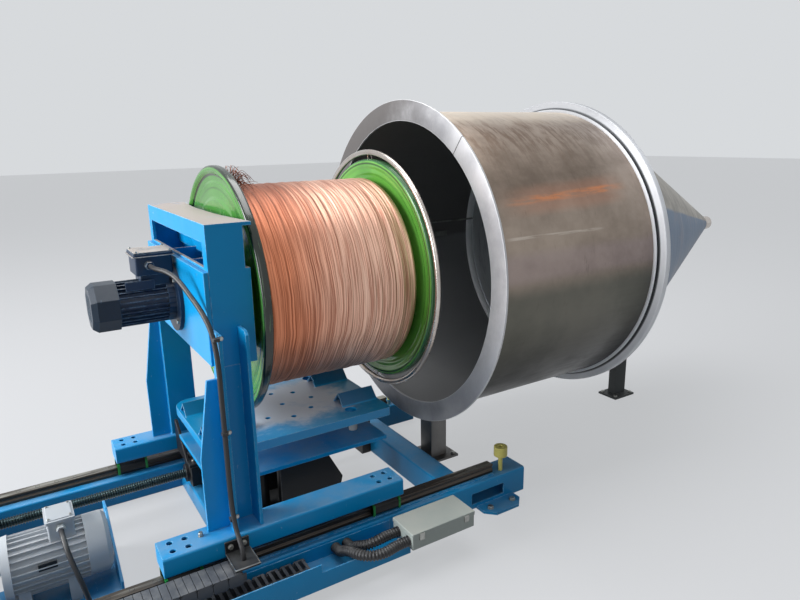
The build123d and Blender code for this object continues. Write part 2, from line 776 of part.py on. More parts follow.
with BuildPart() as guide_blocks:
    for side in (-1, 1):
        for x in block_middles:
            with BuildSketch(Plane.YZ.offset(x - block_length / 2)):
                with BuildLine():
                    y = side * rail_y
                    half = block_width / 2
                    inner = half - block_taper
                    low = rail_beam_top + block_lift
                    high = low + block_waist
                    Polyline((y - inner, low), (y + inner, low), (y + half, low + block_skirt),
                             (y + half, high), (y + inner, high + block_taper), (y + inner, side_beam_bottom),
                             (y - inner, side_beam_bottom), (y - inner, high + block_taper), (y - half, high),
                             (y - half, low + block_skirt), close=True)
                make_face()
                with Locations((side * rail_y, rail_beam_top + guide_height / 2)):
                    Rectangle(guide_width + 2 * guide_gap, guide_height + 2 * guide_gap, mode=Mode.SUBTRACT)
            extrude(amount=block_length)
save(guide_blocks.part, "guide_blocks")

# Columns: pressed channels that open outwards, with a tapered blade on the left flange
head_bottom = axis_height - head_below
head_sill = axis_height + sill_above
head_top = axis_height + head_above
flange_top = axis_height - flange_below
blade_knee = axis_height - blade_knee_below
blade_end = axis_height - blade_end_below
for name, side in (("near_column", -1), ("far_column", 1)):
    with BuildPart() as column:
        with BuildSketch(Plane.XY.offset(side_beam_top)):
            with Locations((column_x + column_length / 2, side * (column_side - column_web / 2))):
                Rectangle(column_length, column_web)
        extrude(amount=head_bottom - side_beam_top)
        with BuildSketch(Plane.XY.offset(side_beam_top)):
            for x in (column_x + column_web / 2, column_x + flange_pitch - column_web / 2):
                with Locations((x, side * (column_side + flange_reach / 2))):
                    Rectangle(column_web, flange_reach)
        extrude(amount=flange_top - side_beam_top)
        top_edges = column.edges().filter_by(Axis.X).group_by(Axis.Z)[-1].sort_by(Axis.Y)
        chamfer(top_edges[0 if side < 0 else -1], column_chamfer)
        with BuildSketch(Plane.XZ.offset(-side * (column_side + blade_offset + column_web / 2))):
            with BuildLine():
                Polyline((column_x, side_beam_top), (column_x - blade_foot, side_beam_top),
                         (column_x - blade_foot, blade_knee), (column_x - blade_top, blade_end),
                         (column_x, blade_end), close=True)
            make_face()
        extrude(amount=column_web / 2, both=True)
    save(column.part, name)

# Crosshead: a welded box with a window over the motor plate, two ribs and a hollow edge by the bobbin
with BuildPart() as crosshead:
    for side in (-1, 1):
        with BuildSketch(Plane.XZ.offset(-side * (column_side - column_web / 2))):
            with BuildLine():
                Polyline((head_left, head_bottom), (head_right, head_bottom), (head_right, head_sill),
                         (head_back, head_sill), (head_back, head_top), (head_left, head_top), close=True)
            make_face()
        extrude(amount=column_web / 2, both=True)
    with BuildSketch(Plane.XY.offset(head_top - head_wall)):
        with BuildLine():
            Polyline((head_notch, column_side), (head_left, column_side), (head_left, -column_side),
                     (head_notch, -column_side))
            ThreePointArc((head_notch, -column_side), (head_notch - head_notch_depth, 0),
                          (head_notch, column_side))
        make_face()
    extrude(amount=head_wall)
    with BuildSketch(Plane.YZ.offset(head_left)):
        with Locations((0, (head_sill + head_top) / 2)):
            Rectangle(2 * column_side, head_top - head_sill)
        with Locations((0, head_sill + (head_window_low + head_window_high) / 2)):
            Rectangle(2 * head_window_half, head_window_high - head_window_low, mode=Mode.SUBTRACT)
    extrude(amount=head_wall)
    with BuildSketch(Plane.YZ.offset(head_back - head_wall)):
        with Locations((0, (head_sill + head_top) / 2)):
            Rectangle(2 * column_side, head_top - head_sill)
        with Locations((rear_window_y, head_sill + (rear_window_low + rear_window_high) / 2)):
            Rectangle(2 * rear_window_half, rear_window_high - rear_window_low, mode=Mode.SUBTRACT)
    extrude(amount=head_wall)
    with BuildSketch(Plane.YZ.offset(head_right - head_wall)):
        with Locations((0, (head_bottom + head_sill) / 2)):
            Rectangle(2 * column_side, head_sill - head_bottom)
        with Locations((0, axis_height)):
            Circle(housing_radius + seat_gap, mode=Mode.SUBTRACT)
    extrude(amount=head_wall)
    with BuildSketch(Plane.XY.offset(head_sill - head_wall)):
        with Locations(((head_back - head_wall + head_right) / 2, 0)):
            Rectangle(head_right - head_back + head_wall, 2 * column_side)
    extrude(amount=head_wall)
    for y in (-rib_y, rib_y):
        with BuildSketch(Plane.XZ.offset(-y)):
            with BuildLine():
                Polyline((head_left, head_bottom + head_wall),
                         (head_right - head_wall, head_bottom + head_wall),
                         (head_right - head_wall, head_sill), (head_left, head_sill), close=True)
            make_face()
        extrude(amount=head_wall / 2, both=True)
save(crosshead.part, "crosshead")

with BuildPart() as motor_mount:
    with BuildSketch(Plane.YZ.offset(head_left - motor_plate)):
        with Locations((0, (axis_height - motor_plate_below + head_sill) / 2)):
            Rectangle(2 * column_side, head_sill - axis_height + motor_plate_below)
        with Locations((0, axis_height)):
            Circle(spindle_radius + shaft_clearance, mode=Mode.SUBTRACT)
    extrude(amount=motor_plate)
save(motor_mount.part, "motor_plate")

with BuildPart() as spindle_housing:
    with BuildSketch(Plane.YZ.offset(head_left)):
        with Locations((0, axis_height)):
            Circle(housing_radius)
    extrude(amount=head_right - head_left)
    with BuildSketch(Plane.YZ.offset(head_left)):
        with Locations((0, axis_height)):
            Circle(housing_flange)
    extrude(amount=head_wall)
    with BuildSketch(Plane.YZ.offset(head_left)):
        with Locations((0, axis_height)):
            Circle(spindle_radius + running_fit)
    extrude(amount=head_right - head_left, mode=Mode.SUBTRACT)
save(spindle_housing.part, "spindle_housing")

# Spindle motor: flange, finned body, terminal box with lid and gland
motor_face = head_left - motor_plate
motor_start = motor_face - motor_flange
cowl_right = motor_start - motor_body_length
spindle_box_x = cowl_right + 109.0
spindle_box_length = 106.0
spindle_box_width = 110.0
spindle_box_bottom = 88.0
spindle_box_top = 153.0
spindle_neck = 12.0       # how far the neck under the box lies inside it
spindle_gland_x = spindle_box_x - 15.0
spindle_gland_height = axis_height + 118.0
bolt_hole = 6.0
with BuildPart() as spindle_motor:
    with BuildSketch(Plane.YZ.offset(motor_start)):
        with Locations((0, axis_height)):
            Circle(motor_flange_radius)
            with PolarLocations(motor_flange_bolts, 4, start_angle=45):
                Circle(bolt_hole, mode=Mode.SUBTRACT)
    extrude(amount=motor_flange)
    add(finned_body(cowl_right, motor_start, 0, axis_height, motor_body_radius, motor_fin_count))
    with BuildSketch(Plane.YZ.offset(motor_start - end_bell)):
        with Locations((0, axis_height)):
            Circle(motor_body_radius)
    extrude(amount=end_bell)
    with BuildSketch(Plane.XY.offset(axis_height + motor_body_radius / 2)):
        with Locations((spindle_box_x, 0)):
            Rectangle(spindle_box_length - 2 * spindle_neck, spindle_box_width - 2 * spindle_neck)
    extrude(amount=spindle_box_bottom - motor_body_radius / 2)
    with BuildSketch(Plane.XY.offset(axis_height + spindle_box_bottom)):
        with Locations((spindle_box_x, 0)):
            RectangleRounded(spindle_box_length, spindle_box_width, motor_box_corner)
    extrude(amount=spindle_box_top - spindle_box_bottom)
    with BuildSketch(Plane.XY.offset(axis_height + spindle_box_top - motor_box_lid)):
        with Locations((spindle_box_x, 0)):
            RectangleRounded(spindle_box_length + 2 * motor_box_lap, spindle_box_width + 2 * motor_box_lap,
                             motor_box_corner)
    extrude(amount=motor_box_lid)
    with BuildSketch(Plane.XZ.offset(spindle_box_width / 2)):
        with Locations((spindle_gland_x, spindle_gland_height)):
            RegularPolygon(gland_radius, 6)
    extrude(amount=gland_length)
save(spindle_motor.part, "spindle_motor")

cowl_sides = 8
cowl_taper = 16.0
cowl_end_radius = 60.0
cowl_grille = 76.0
cowl_grille_slots = 7
cowl_grille_pitch = 12.0
cowl_shoulder = cowl_right - spindle_cowl_length + cowl_taper
with BuildPart() as spindle_motor_cowl:
    with BuildSketch(Plane.YZ.offset(cowl_right)):
        with Locations((0, axis_height)):
            RegularPolygon(spindle_cowl_radius, cowl_sides, major_radius=False, rotation=180 / cowl_sides)
    extrude(amount=cowl_shoulder - cowl_right)
    with BuildSketch(Plane.YZ.offset(cowl_shoulder)):
        with Locations((0, axis_height)):
            RegularPolygon(spindle_cowl_radius, cowl_sides, major_radius=False, rotation=180 / cowl_sides)
    with BuildSketch(Plane.YZ.offset(cowl_right - spindle_cowl_length)):
        with Locations((0, axis_height)):
            RegularPolygon(cowl_end_radius, cowl_sides, major_radius=False, rotation=180 / cowl_sides)
    loft()
    with BuildSketch(Plane.YZ.offset(cowl_right - spindle_cowl_length)):
        with Locations((0, axis_height)):
            with GridLocations(cowl_grille_pitch, 1, cowl_grille_slots, 1):
                Rectangle(cowl_slot_width, cowl_grille)
    extrude(amount=cowl_slot_depth, mode=Mode.SUBTRACT)
save(spindle_motor_cowl.part, "spindle_motor_cowl")

# Nut bracket on the far side beam, and the nut that runs on the screw
nut_left = -965.0
nut_length = 80.0
nut_half_width = 50.0
nut_bottom = 85.0
nut_flange_radius = 32.0
nut_flange_length = 12.0
bracket_left = -970.0
bracket_length = 100.0
bracket_plate = 12.0
gusset_plate = 10.0
gusset_top = 285.0
gusset_foot = 10.0        # of the gusset beyond the screw's axis
gusset_head = 20.0        # width of its top
with BuildPart() as nut_bracket:
    with BuildSketch(Plane.XY.offset(side_beam_bottom)):
        with Locations((bracket_left + bracket_length / 2, (screw_y - nut_half_width + beam_inner) / 2)):
            Rectangle(bracket_length, beam_inner - screw_y + nut_half_width)
    extrude(amount=bracket_plate)
    with BuildSketch(Plane.YZ.offset(bracket_left)):
        with BuildLine():
            low = side_beam_bottom + bracket_plate
            Polyline((beam_inner, low), (screw_y - gusset_foot, low), (beam_inner - gusset_head, gusset_top),
                     (beam_inner, gusset_top), close=True)
        make_face()
    extrude(amount=gusset_plate)
save(nut_bracket.part, "nut_bracket")

with BuildPart() as screw_nut:
    with BuildSketch(Plane.YZ.offset(nut_left)):
        with Locations((screw_y, (nut_bottom + side_beam_bottom) / 2)):
            Rectangle(2 * nut_half_width, side_beam_bottom - nut_bottom)
    extrude(amount=nut_length)
    with BuildSketch(Plane.YZ.offset(nut_left - nut_flange_length)):
        with Locations((screw_y, screw_height)):
            Circle(nut_flange_radius)
    extrude(amount=nut_flange_length)
    with BuildSketch(Plane.YZ.offset(nut_left - nut_flange_length)):
        with Locations((screw_y, screw_height)):
            Circle(screw_radius + running_fit)
    extrude(amount=nut_length + nut_flange_length, mode=Mode.SUBTRACT)
save(screw_nut.part, "screw_nut")

# Chain bracket on the near side beam, over the chain's free end
chain_bracket_left = -1020.0
chain_bracket_length = 70.0
bracket_wall = 6.0
bracket_foot = chain_top + chain_gap
bracket_seat = bracket_foot + bracket_wall
bracket_top = side_beam_top - beam_corner
with BuildPart() as chain_bracket:
    with BuildSketch(Plane.YZ.offset(chain_bracket_left)):
        with BuildLine():
            edge = chain_y - chain_width / 2
            face = -beam_outer - bracket_wall
            Polyline((-beam_outer, bracket_foot), (-beam_outer, bracket_top), (face, bracket_top),
                     (face, bracket_seat), (edge, bracket_seat), (edge, bracket_foot), close=True)
        make_face()
    extrude(amount=chain_bracket_length)
save(chain_bracket.part, "chain_bracket")

# Spindle motor's cable, clipped down the near column to the chain bracket
spindle_cable_start = -spindle_box_width / 2 - gland_length
spindle_cable = [(spindle_gland_x, spindle_cable_start, spindle_gland_height),
                 (spindle_gland_x, -108, spindle_gland_height), (-1060, -150, 955), (-1044, -192, 953),
                 (-1028, -240, 938), (-1014, -301, 902), (-1000, -366, 862), (-991, -408, 812),
                 (-988, -424, 735), (-989, -426, 620), (-988, -424, 505), (-989, -426, 400),
                 (-989, -430, 312), (-988, -443, 258), (-986, -470, 226),
                 (-985, chain_y, bracket_seat + 24), (-985, chain_y, bracket_seat)]
save(cable(spindle_cable, cable_radius), "motor_cable")

# Spindle and driver
spindle_start = head_left + 2
right_flange_x = bobbin_x + inner_length
bobbin_left = bobbin_x - flange_width
bobbin_bore = spindle_radius + seat_gap
spindle_end = right_flange_x + spindle_overhang
save(turned([(spindle_start, 0), (spindle_start, spindle_radius), (spindle_end, spindle_radius),
             (spindle_end, 0)]), "spindle")

with BuildPart() as driver:
    with BuildSketch(Plane.YZ.offset(bobbin_left - drive_plate_thickness)):
        with Locations((0, axis_height)):
            RectangleRounded(drive_plate_length, drive_plate_width, drive_plate_width / 5)
            Circle(spindle_radius + seat_gap, mode=Mode.SUBTRACT)
    extrude(amount=drive_plate_thickness)
save(driver.part, "drive_plate")


def flange(inner_x, out):
    """A dished flange with a rolled rim and a hub: inner_x is its inner face, out points outwards."""
    web_face = inner_x + out * flange_dish
    web_back = web_face + out * flange_web
    outer = inner_x + out * flange_width
    rim_foot = flange_radius - flange_rim
    return turned([(inner_x, bobbin_bore), (inner_x, barrel_radius),
                   (web_face, barrel_radius + 2 * flange_rim),
                   (web_face, rim_foot - flange_rim), (inner_x, flange_radius - rim_corner),
                   (inner_x + out * rim_corner, flange_radius), (outer - out * rim_corner, flange_radius),
                   (outer, flange_radius - rim_corner), (outer, rim_foot), (web_back, rim_foot - flange_rim),
                   (web_back, hub_radius + flange_rim), (outer, hub_radius), (outer, bobbin_bore)])


save(flange(bobbin_x, -1), "bobbin_left_flange")
save(flange(right_flange_x, 1), "bobbin_right_flange")
save(turned([(bobbin_x, bobbin_bore), (bobbin_x, barrel_radius), (right_flange_x, barrel_radius),
             (right_flange_x, bobbin_bore)]), "bobbin_barrel")
save(turned([(bobbin_x + copper_start, barrel_radius + seat_gap), (bobbin_x + copper_start, copper_radius),
             (bobbin_x + copper_end, copper_radius), (bobbin_x + copper_end, barrel_radius + seat_gap)]),
     "copper_winding")

# Guide ring with the hooks that hold it on the flange's rim
ring_radius = flange_radius + ring_clearance + ring_tube
hook_length = ring_clearance + ring_tube / 2 - seat_gap
with BuildPart() as wire_ring:
    with BuildSketch(Plane.XZ):
        with Locations((right_flange_x + ring_offset, axis_height + ring_radius)):
            RegularPolygon(ring_tube, ring_sides)
    revolve(axis=Axis((0, 0, axis_height), (1, 0, 0)))
    for k in range(ring_hook_count):
        angle = 2 * pi * k / ring_hook_count + pi / 6
        with BuildSketch(Plane(origin=(right_flange_x + ring_offset, 0, axis_height), z_dir=(1, 0, 0),
                               x_dir=(0, cos(angle), sin(angle)))):
            with Locations((flange_radius + seat_gap + hook_length / 2, 0)):
                Rectangle(hook_length, ring_hook_width)
        extrude(amount=ring_hook_wire / 2, both=True)
save(wire_ring.part, "wire_ring")

# Lifting table with the four V blocks, bent from plate, that the bobbin is set down on
bolt_holes = [(-660, 109), (-660, -2), (-548, -2), (-586, 78), (-586, -85), (-746, 78), (-746, -86),
              (-666, -121)]
lifting_holes = [(-479, 182), (-479, -182)]
v_block_starts = (table_left + v_block_inset, table_right - v_block_inset - v_block_length)
bolt_hole_radius = 9.0
lifting_hole_radius = 21.0
with BuildPart() as lift_table:
    with BuildSketch(Plane.XY.offset(table_bottom)) as table_outline:
        with Locations(((table_left + table_right) / 2, 0)):
            Rectangle(table_right - table_left, 2 * table_half_width)
        fillet(table_outline.vertices().group_by(Axis.X)[0], table_left_corner)
        fillet(table_outline.vertices().group_by(Axis.X)[-1], table_right_corner)
    extrude(amount=table_thickness)
    slope = v_block_wall * (v_block_half ** 2 + v_block_height ** 2) ** 0.5 / v_block_height
    tall = table_top + v_block_height
    for side, x in product((-1, 1), v_block_starts):
        with BuildSketch(Plane.YZ.offset(x)):
            with BuildLine():
                y = side * v_block_y
                Polyline((y - v_block_half, table_top), (y, tall), (y + v_block_half, table_top),
                         (y + v_block_half - slope, table_top),
                         (y, tall - slope * v_block_height / v_block_half),
                         (y - v_block_half + slope, table_top), close=True)
            make_face()
        extrude(amount=v_block_length)
    with BuildSketch(Plane.XY.offset(table_bottom)):
        with Locations(*bolt_holes):
            Circle(bolt_hole_radius)
        with Locations(*lifting_holes):
            Circle(lifting_hole_radius)
    extrude(amount=table_thickness + v_block_height, mode=Mode.SUBTRACT)
save(lift_table.part, "lift_table")

with BuildPart() as lift_deck:
    with BuildSketch(Plane.XY.offset(deck_bottom)):
        with Locations(((table_left + table_right) / 2, 0)):
            Rectangle(table_right - table_left - 2 * deck_inset, 2 * deck_half_width)
    extrude(amount=deck_thickness)
save(lift_deck.part, "lift_deck")

with BuildPart() as deck_buffers:
    with BuildSketch(Plane.XY.offset(deck_top)):
        with Locations(((table_left + table_right) / 2, 0)):
            with GridLocations(table_right - table_left - 2 * buffer_inset, 2 * buffer_y, 2, 2):
                Circle(buffer_radius)
    extrude(amount=buffer_height)
save(deck_buffers.part, "deck_buffers")

with BuildPart() as lift_rods:
    with BuildSketch(Plane.XY.offset(rod_bottom)):
        with Locations((lift_x, 0)):
            Circle(rod_radius)
        with Locations((lift_x - guide_rod_pitch / 2, 0), (lift_x + guide_rod_pitch / 2, 0)):
            Circle(guide_rod_radius)
    extrude(amount=deck_bottom - rod_bottom)
save(lift_rods.part, "lift_rods")
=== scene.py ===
# %% [markdown]
# This lesson dresses a wire pay-off machine. A bobbin of copper wire hangs on a cantilevered
# spindle, and the wire is drawn off over its right flange into a steel drum and out of a cone.
# The machine's bodies come from a frame that already has every size and joint right, so each
# piece made here takes its place from that frame, in metres.

# %% Load the frame
import json
from math import pi, radians

import bmesh
import bpy
import numpy as np
from mathutils import Matrix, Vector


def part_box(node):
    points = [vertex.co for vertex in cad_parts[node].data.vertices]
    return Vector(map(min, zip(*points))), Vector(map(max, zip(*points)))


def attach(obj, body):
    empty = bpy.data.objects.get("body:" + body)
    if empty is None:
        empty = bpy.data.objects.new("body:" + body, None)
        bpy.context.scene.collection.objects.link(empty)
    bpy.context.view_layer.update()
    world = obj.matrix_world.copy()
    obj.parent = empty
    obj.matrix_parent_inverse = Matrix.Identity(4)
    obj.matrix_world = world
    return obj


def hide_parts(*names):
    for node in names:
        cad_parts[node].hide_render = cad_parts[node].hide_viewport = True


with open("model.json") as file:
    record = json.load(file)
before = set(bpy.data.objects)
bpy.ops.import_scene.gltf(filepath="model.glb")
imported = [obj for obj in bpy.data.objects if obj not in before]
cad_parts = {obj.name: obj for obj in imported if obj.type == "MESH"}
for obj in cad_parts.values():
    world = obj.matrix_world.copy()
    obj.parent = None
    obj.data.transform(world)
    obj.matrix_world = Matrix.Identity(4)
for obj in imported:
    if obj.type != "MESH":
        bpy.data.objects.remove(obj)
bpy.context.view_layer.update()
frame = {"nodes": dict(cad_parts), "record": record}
record = frame["record"]
body_of = {node: body for body, nodes in record["behaviour"]["bodies"].items() for node in nodes}
slot_of = {part["node"]: part["material_slot"] for part in record["subparts"]}
slots = {material["slot"] for material in record["materials"]}
axis = 0.835  # the height of the spindle's axis above the floor

# %% [markdown]
# Every object starts the same way: its data, an object that shows it, and a link into the
# scene. A camera and a lamp are turned by writing down their own three axes as the columns of
# a matrix: right, up, and the direction opposite to the view. So they need no target object.

# %% Objects and directions
def added(name, data):
    """A new object that shows `data`, at the origin and linked into the scene."""
    obj = bpy.data.objects.new(name, data)
    bpy.context.collection.objects.link(obj)
    return obj


def unit(vectors):
    """Each vector divided by its own length."""
    vectors = np.asarray(vectors, float)
    return vectors / np.linalg.norm(vectors, axis=-1, keepdims=True)


def stand(obj, right, up, back, place):
    """Turns an object to its three axes and sets it at `place`."""
    matrix = np.eye(4)
    matrix[:3, :3], matrix[:3, 3] = np.stack([right, up, back], axis=1), place
    obj.matrix_world = Matrix(matrix.tolist())


# %% [markdown]
# The camera stands to the left of the drive end, a little above the spindle, and looks along
# the machine. Its three turns are yaw from straight ahead, pitch downwards and a slight roll.

# %% Camera
yaw, pitch, roll = 0.5571, 0.2498, -0.0181
camera_place = (-1.4267, -2.0429, 1.312)
ahead = np.array([np.sin(yaw) * np.cos(pitch), np.cos(yaw) * np.cos(pitch), -np.sin(pitch)])
level = np.array([np.cos(yaw), -np.sin(yaw), 0.0])
above = np.cross(level, ahead)
camera = added("camera", bpy.data.cameras.new("camera"))
camera.data.lens, camera.data.sensor_width, camera.data.clip_end = 28.88, 36.0, 100.0
stand(camera, np.cos(roll) * level + np.sin(roll) * above, np.cos(roll) * above - np.sin(roll) * level,
      -ahead, camera_place)
bpy.context.scene.camera = camera
print("camera", camera_place)

# %% [markdown]
# A cable bends in one smooth line between the places that hold it. A NURBS spline of order 3
# does the same between its control points, so the points below, in millimetres, are the
# route's corners and no more. The order is set once the points are there, because before that
# it stays at 2, which gives straight runs.

# %% Routes of the cables
def route(name, points, thickness=0.0):
    """An open quadratic spline that starts and ends on its first and last point."""
    curve = bpy.data.curves.new(name, "CURVE")
    curve.dimensions, curve.resolution_u, curve.bevel_resolution = "3D", 10, 3
    curve.bevel_depth, curve.use_fill_caps = thickness, True
    spline = curve.splines.new("NURBS")
    spline.points.add(len(points) - 1)
    spline.points.foreach_set("co", np.c_[np.array(points) / 1000, np.ones(len(points))].ravel())
    spline.order_u, spline.use_endpoint_u = 3, True
    return added(name, curve)


def spline_points(line):
    """The points that Blender's own spline passes through, read from a curve with no bevel."""
    mesh = bpy.data.meshes.new_from_object(line)
    points = np.empty(3 * len(mesh.vertices))
    mesh.vertices.foreach_get("co", points)
    bpy.data.meshes.remove(mesh)
    return points.reshape(-1, 3)


def run_length(points):
    """The sum of the distances between neighbouring points."""
    return float(np.linalg.norm(np.diff(points, axis=0), axis=1).sum())


cable_routes = {
    "motor_cable": [(-1065, -73, 953), (-1065, -108, 953), (-1060, -150, 955), (-1044, -192, 953),
                    (-1028, -240, 938), (-1014, -301, 902), (-1000, -366, 862), (-991, -408, 812),
                    (-988, -424, 735), (-989, -426, 620), (-988, -424, 505), (-989, -426, 400),
                    (-989, -430, 312), (-988, -443, 258), (-986, -470, 226), (-985, -487, 202),
                    (-985, -487, 178)],
    "drive_motor_cable": [(-1402, -164, 244), (-1402, -198, 244), (-1398, -228, 222), (-1391, -250, 188),
                          (-1381, -266, 150), (-1372, -278, 112), (-1365, -286, 78), (-1362, -304, 54),
                          (-1362, -330, 54)],
    "far_conduit": [(-510.5, -537, 118), (-552, -537, 118), (-592, -541, 116), (-624, -531, 108),
                    (-640, -502, 95), (-642, -468, 70), (-642, -434, 70)],
    "near_conduit": [(-510.5, -596, 118), (-554, -596, 118), (-594, -608, 119), (-634, -603, 118),
                     (-664, -579, 118), (-679, -544, 116), (-682, -506, 99), (-682, -468, 70),
                     (-682, -434, 70)],
}
cable_lines = {}
for name, points in cable_routes.items():
    line = route(name + "_line", points)
    cable_lines[name] = spline_points(line)
    bpy.data.objects.remove(line)
    print(name, "length", round(run_length(cable_lines[name]), 4))

# %% [markdown]
# Procedural materials are arithmetic on signals: noise, masks and coordinates. Writing each
# sum as a node is slow to read, so a small class wraps a node's output and lets Python's own
# operators add the Math nodes. Colours never pass through Math, which would turn them grey.
# They go through Mix instead.

# %% Signals
class Signal:
    """A node's output that can be used in sums: each operator adds one Math node."""

    def __init__(self, tree, socket):
        self.tree, self.socket = tree, socket

    def _math(self, operation, *values):
        node = self.tree.nodes.new("ShaderNodeMath")
        node.operation = operation
        for slot, value in zip(node.inputs, values):
            if isinstance(value, Signal):
                self.tree.links.new(value.socket, slot)
            else:
                slot.default_value = value
        return Signal(self.tree, node.outputs[0])

    def __add__(self, other):
        return self._math("ADD", self, other)

    def __sub__(self, other):
        return self._math("SUBTRACT", self, other)

    def __rsub__(self, other):
        return self._math("SUBTRACT", other, self)

    def __mul__(self, other):
        return self._math("MULTIPLY", self, other)

    def __pow__(self, other):
        return self._math("POWER", self, other)

    __radd__, __rmul__ = __add__, __mul__

    def least(self, other):
        return self._math("MINIMUM", self, other)

    def most(self, other):
        return self._math("MAXIMUM", self, other)

    def size(self):
        return self._math("ABSOLUTE", self)


def linear(colour):
    """A screen colour, three numbers up to 255, as the shader's linear four. Any other passes."""
    if isinstance(colour, Signal) or len(colour) == 4:
        return colour
    value = np.array(colour) / 255
    return (*np.where(value > 0.04045, ((value + 0.055) / 1.055) ** 2.4, value / 12.92).tolist(), 1.0)


print("a navy from the screen", [round(v, 3) for v in linear((30, 50, 70))])

# %% [markdown]
# Two classes hold the rest. The first adds any node to a tree by its type, its settings and
# its inputs, and the world uses it too. The second is one finish of the machine: a material
# whose shader starts with plain values, and which knows where each point of a piece lies.

# %% Node trees and finishes
class Nodes:
    """A node tree being built."""

    def __init__(self, tree):
        self.tree = tree

    def node(self, kind, settings=None, inputs=None, output=0):
        """Any other node: settings first, then its inputs' values or links, and the output to use."""
        node = self.tree.nodes.new(kind)
        for key, value in (settings or {}).items():
            setattr(node, key, value)
        for key, value in (inputs or {}).items():
            if isinstance(value, Signal):
                self.tree.links.new(value.socket, node.inputs[key])
            else:
                node.inputs[key].default_value = value
        return Signal(self.tree, node.outputs[output])

    def mix(self, factor, first, second):
        """One colour fading into another."""
        colours = {0: factor, 6: linear(first), 7: linear(second)}
        return self.node("ShaderNodeMix", {"data_type": "RGBA"}, colours, output=2)

    def backdrop(self, lit, shown):
        """`shown` to rays from the camera, from gloss and through glass, and `lit` to all light."""
        seen = self.node("ShaderNodeLightPath", output="Is Camera Ray")
        for ray in ("Is Glossy Ray", "Is Transmission Ray"):
            seen = seen.most(self.node("ShaderNodeLightPath", output=ray))
        return self.mix(seen, lit, shown)


class Finish(Nodes):
    """A material being built: its tree, its Principled shader and the object's coordinates."""

    def __init__(self, name, colour, roughness, metallic=0.0, coat=0.0):
        self.material = bpy.data.materials.new(name)
        self.material.use_nodes = True
        super().__init__(self.material.node_tree)
        self.shader = self.tree.nodes["Principled BSDF"].inputs
        start = {"Base Color": linear(colour), "Roughness": roughness, "Metallic": metallic,
                 "Coat Weight": coat, "Coat Roughness": 0.08}
        for socket, value in start.items():
            self.shader[socket].default_value = value
        self.place = self.node("ShaderNodeTexCoord", output="Object")
        self.x, self.y, self.z = self.split(self.place)

    def split(self, vector):
        """The three parts of a vector."""
        node = self.tree.nodes.new("ShaderNodeSeparateXYZ")
        self.tree.links.new(vector.socket, node.inputs[0])
        return [Signal(self.tree, out) for out in node.outputs]

    def vector(self, x, y, z):
        """Three parts made one vector."""
        return self.node("ShaderNodeCombineXYZ", inputs={0: x, 1: y, 2: z})

    def noise(self, scale, detail=3.0, rough=0.5, along=None):
        return self.node("ShaderNodeTexNoise", inputs={
            "Vector": along or self.place, "Scale": scale, "Detail": detail, "Roughness": rough})

    def grain(self, scale, detail, rough=0.5, turn=(0, 0, 0), fine=1.0):
        """Noise on the object's coordinates, turned and scaled along their own axes."""
        stretch = {"Vector": self.place, "Scale": scale, "Rotation": turn}
        return self.noise(fine, detail, rough, self.node("ShaderNodeMapping", inputs=stretch))

    def step(self, value, low, high):
        """0 below `low`, 1 above `high`, and smooth between them."""
        return self.node("ShaderNodeMapRange", {"interpolation_type": "SMOOTHSTEP"},
                         {"Value": value, "From Min": low, "From Max": high})

    def ring(self, value, middle, width):
        """1 where a value is at `middle`, fading to 0 at `width` to either side."""
        return self.step((value - middle).size(), width, 0.35 * width)

    def painted(self, colour, *coats):
        """Coats over a colour, each one a mask and the screen colour that it lays on."""
        for mask, screen in coats:
            colour = self.mix(mask, colour, screen)
        return colour

    def facing(self):
        """The surface's own direction, split into its three parts: which way a face looks."""
        return self.split(self.node("ShaderNodeNewGeometry", output="Normal"))

    def worn_edge(self, radius):
        """1 on sharp edges: where the normal, rounded over `radius`, leaves the face's own."""
        soft = self.node("ShaderNodeBevel", {"samples": 4}, {"Radius": radius})
        flat = self.node("ShaderNodeNewGeometry", output="Normal")
        dot = {"operation": "DOT_PRODUCT"}
        return 1 - self.node("ShaderNodeVectorMath", dot, {0: soft, 1: flat}, output="Value")

    def from_axis(self):
        """The distance from the spindle's axis: (y^2 + (z - axis)^2)^0.5."""
        up = self.z - axis
        return (self.y * self.y + up * up) ** 0.5

    def bump(self, height, distance, strength=1.0):
        return self.node("ShaderNodeBump", inputs={
            "Height": height, "Distance": distance, "Strength": strength})

    def feed(self, **sockets):
        """Links signals to the shader's sockets, and gives back the finished material."""
        for key, value in sockets.items():
            self.tree.links.new(value.socket, self.shader[key.replace("_", " ")])
        return self.material


finishes = {}

# %% [markdown]
# A studio needs a floor, an empty background and soft lamps. The floor is one large sheet. It
# and the world are darker to the light than they look: Light Path shows the pale colour only
# to rays that end in the picture, so no white floor lights the machine from below. Large area
# lamps give soft edges. The main one hangs to the left of the drive end, and weaker ones open
# the shadows.

# %% Floor, world and lamps
half = 30  # metres from the middle of the floor to its edge
floor_corners = [(-half, -half, 0), (half, -half, 0), (half, half, 0), (-half, half, 0)]
floor_mesh = bpy.data.meshes.new("floor")
floor_mesh.from_pydata(floor_corners, [], [(0, 1, 2, 3)])
floor = added("floor", floor_mesh)
f = Finish("floor", (0.15, 0.15, 0.16, 1), 0.85)
f.shader["Emission Strength"].default_value = 1.0
concrete = f.mix(f.noise(0.7, 4) * 0.2, (0.165, 0.165, 0.17, 1), (0.135, 0.135, 0.14, 1))
floor_mesh.materials.append(f.feed(Base_Color=concrete,
                                   Emission_Color=f.backdrop((0, 0, 0, 1), (0.47, 0.48, 0.49, 1))))

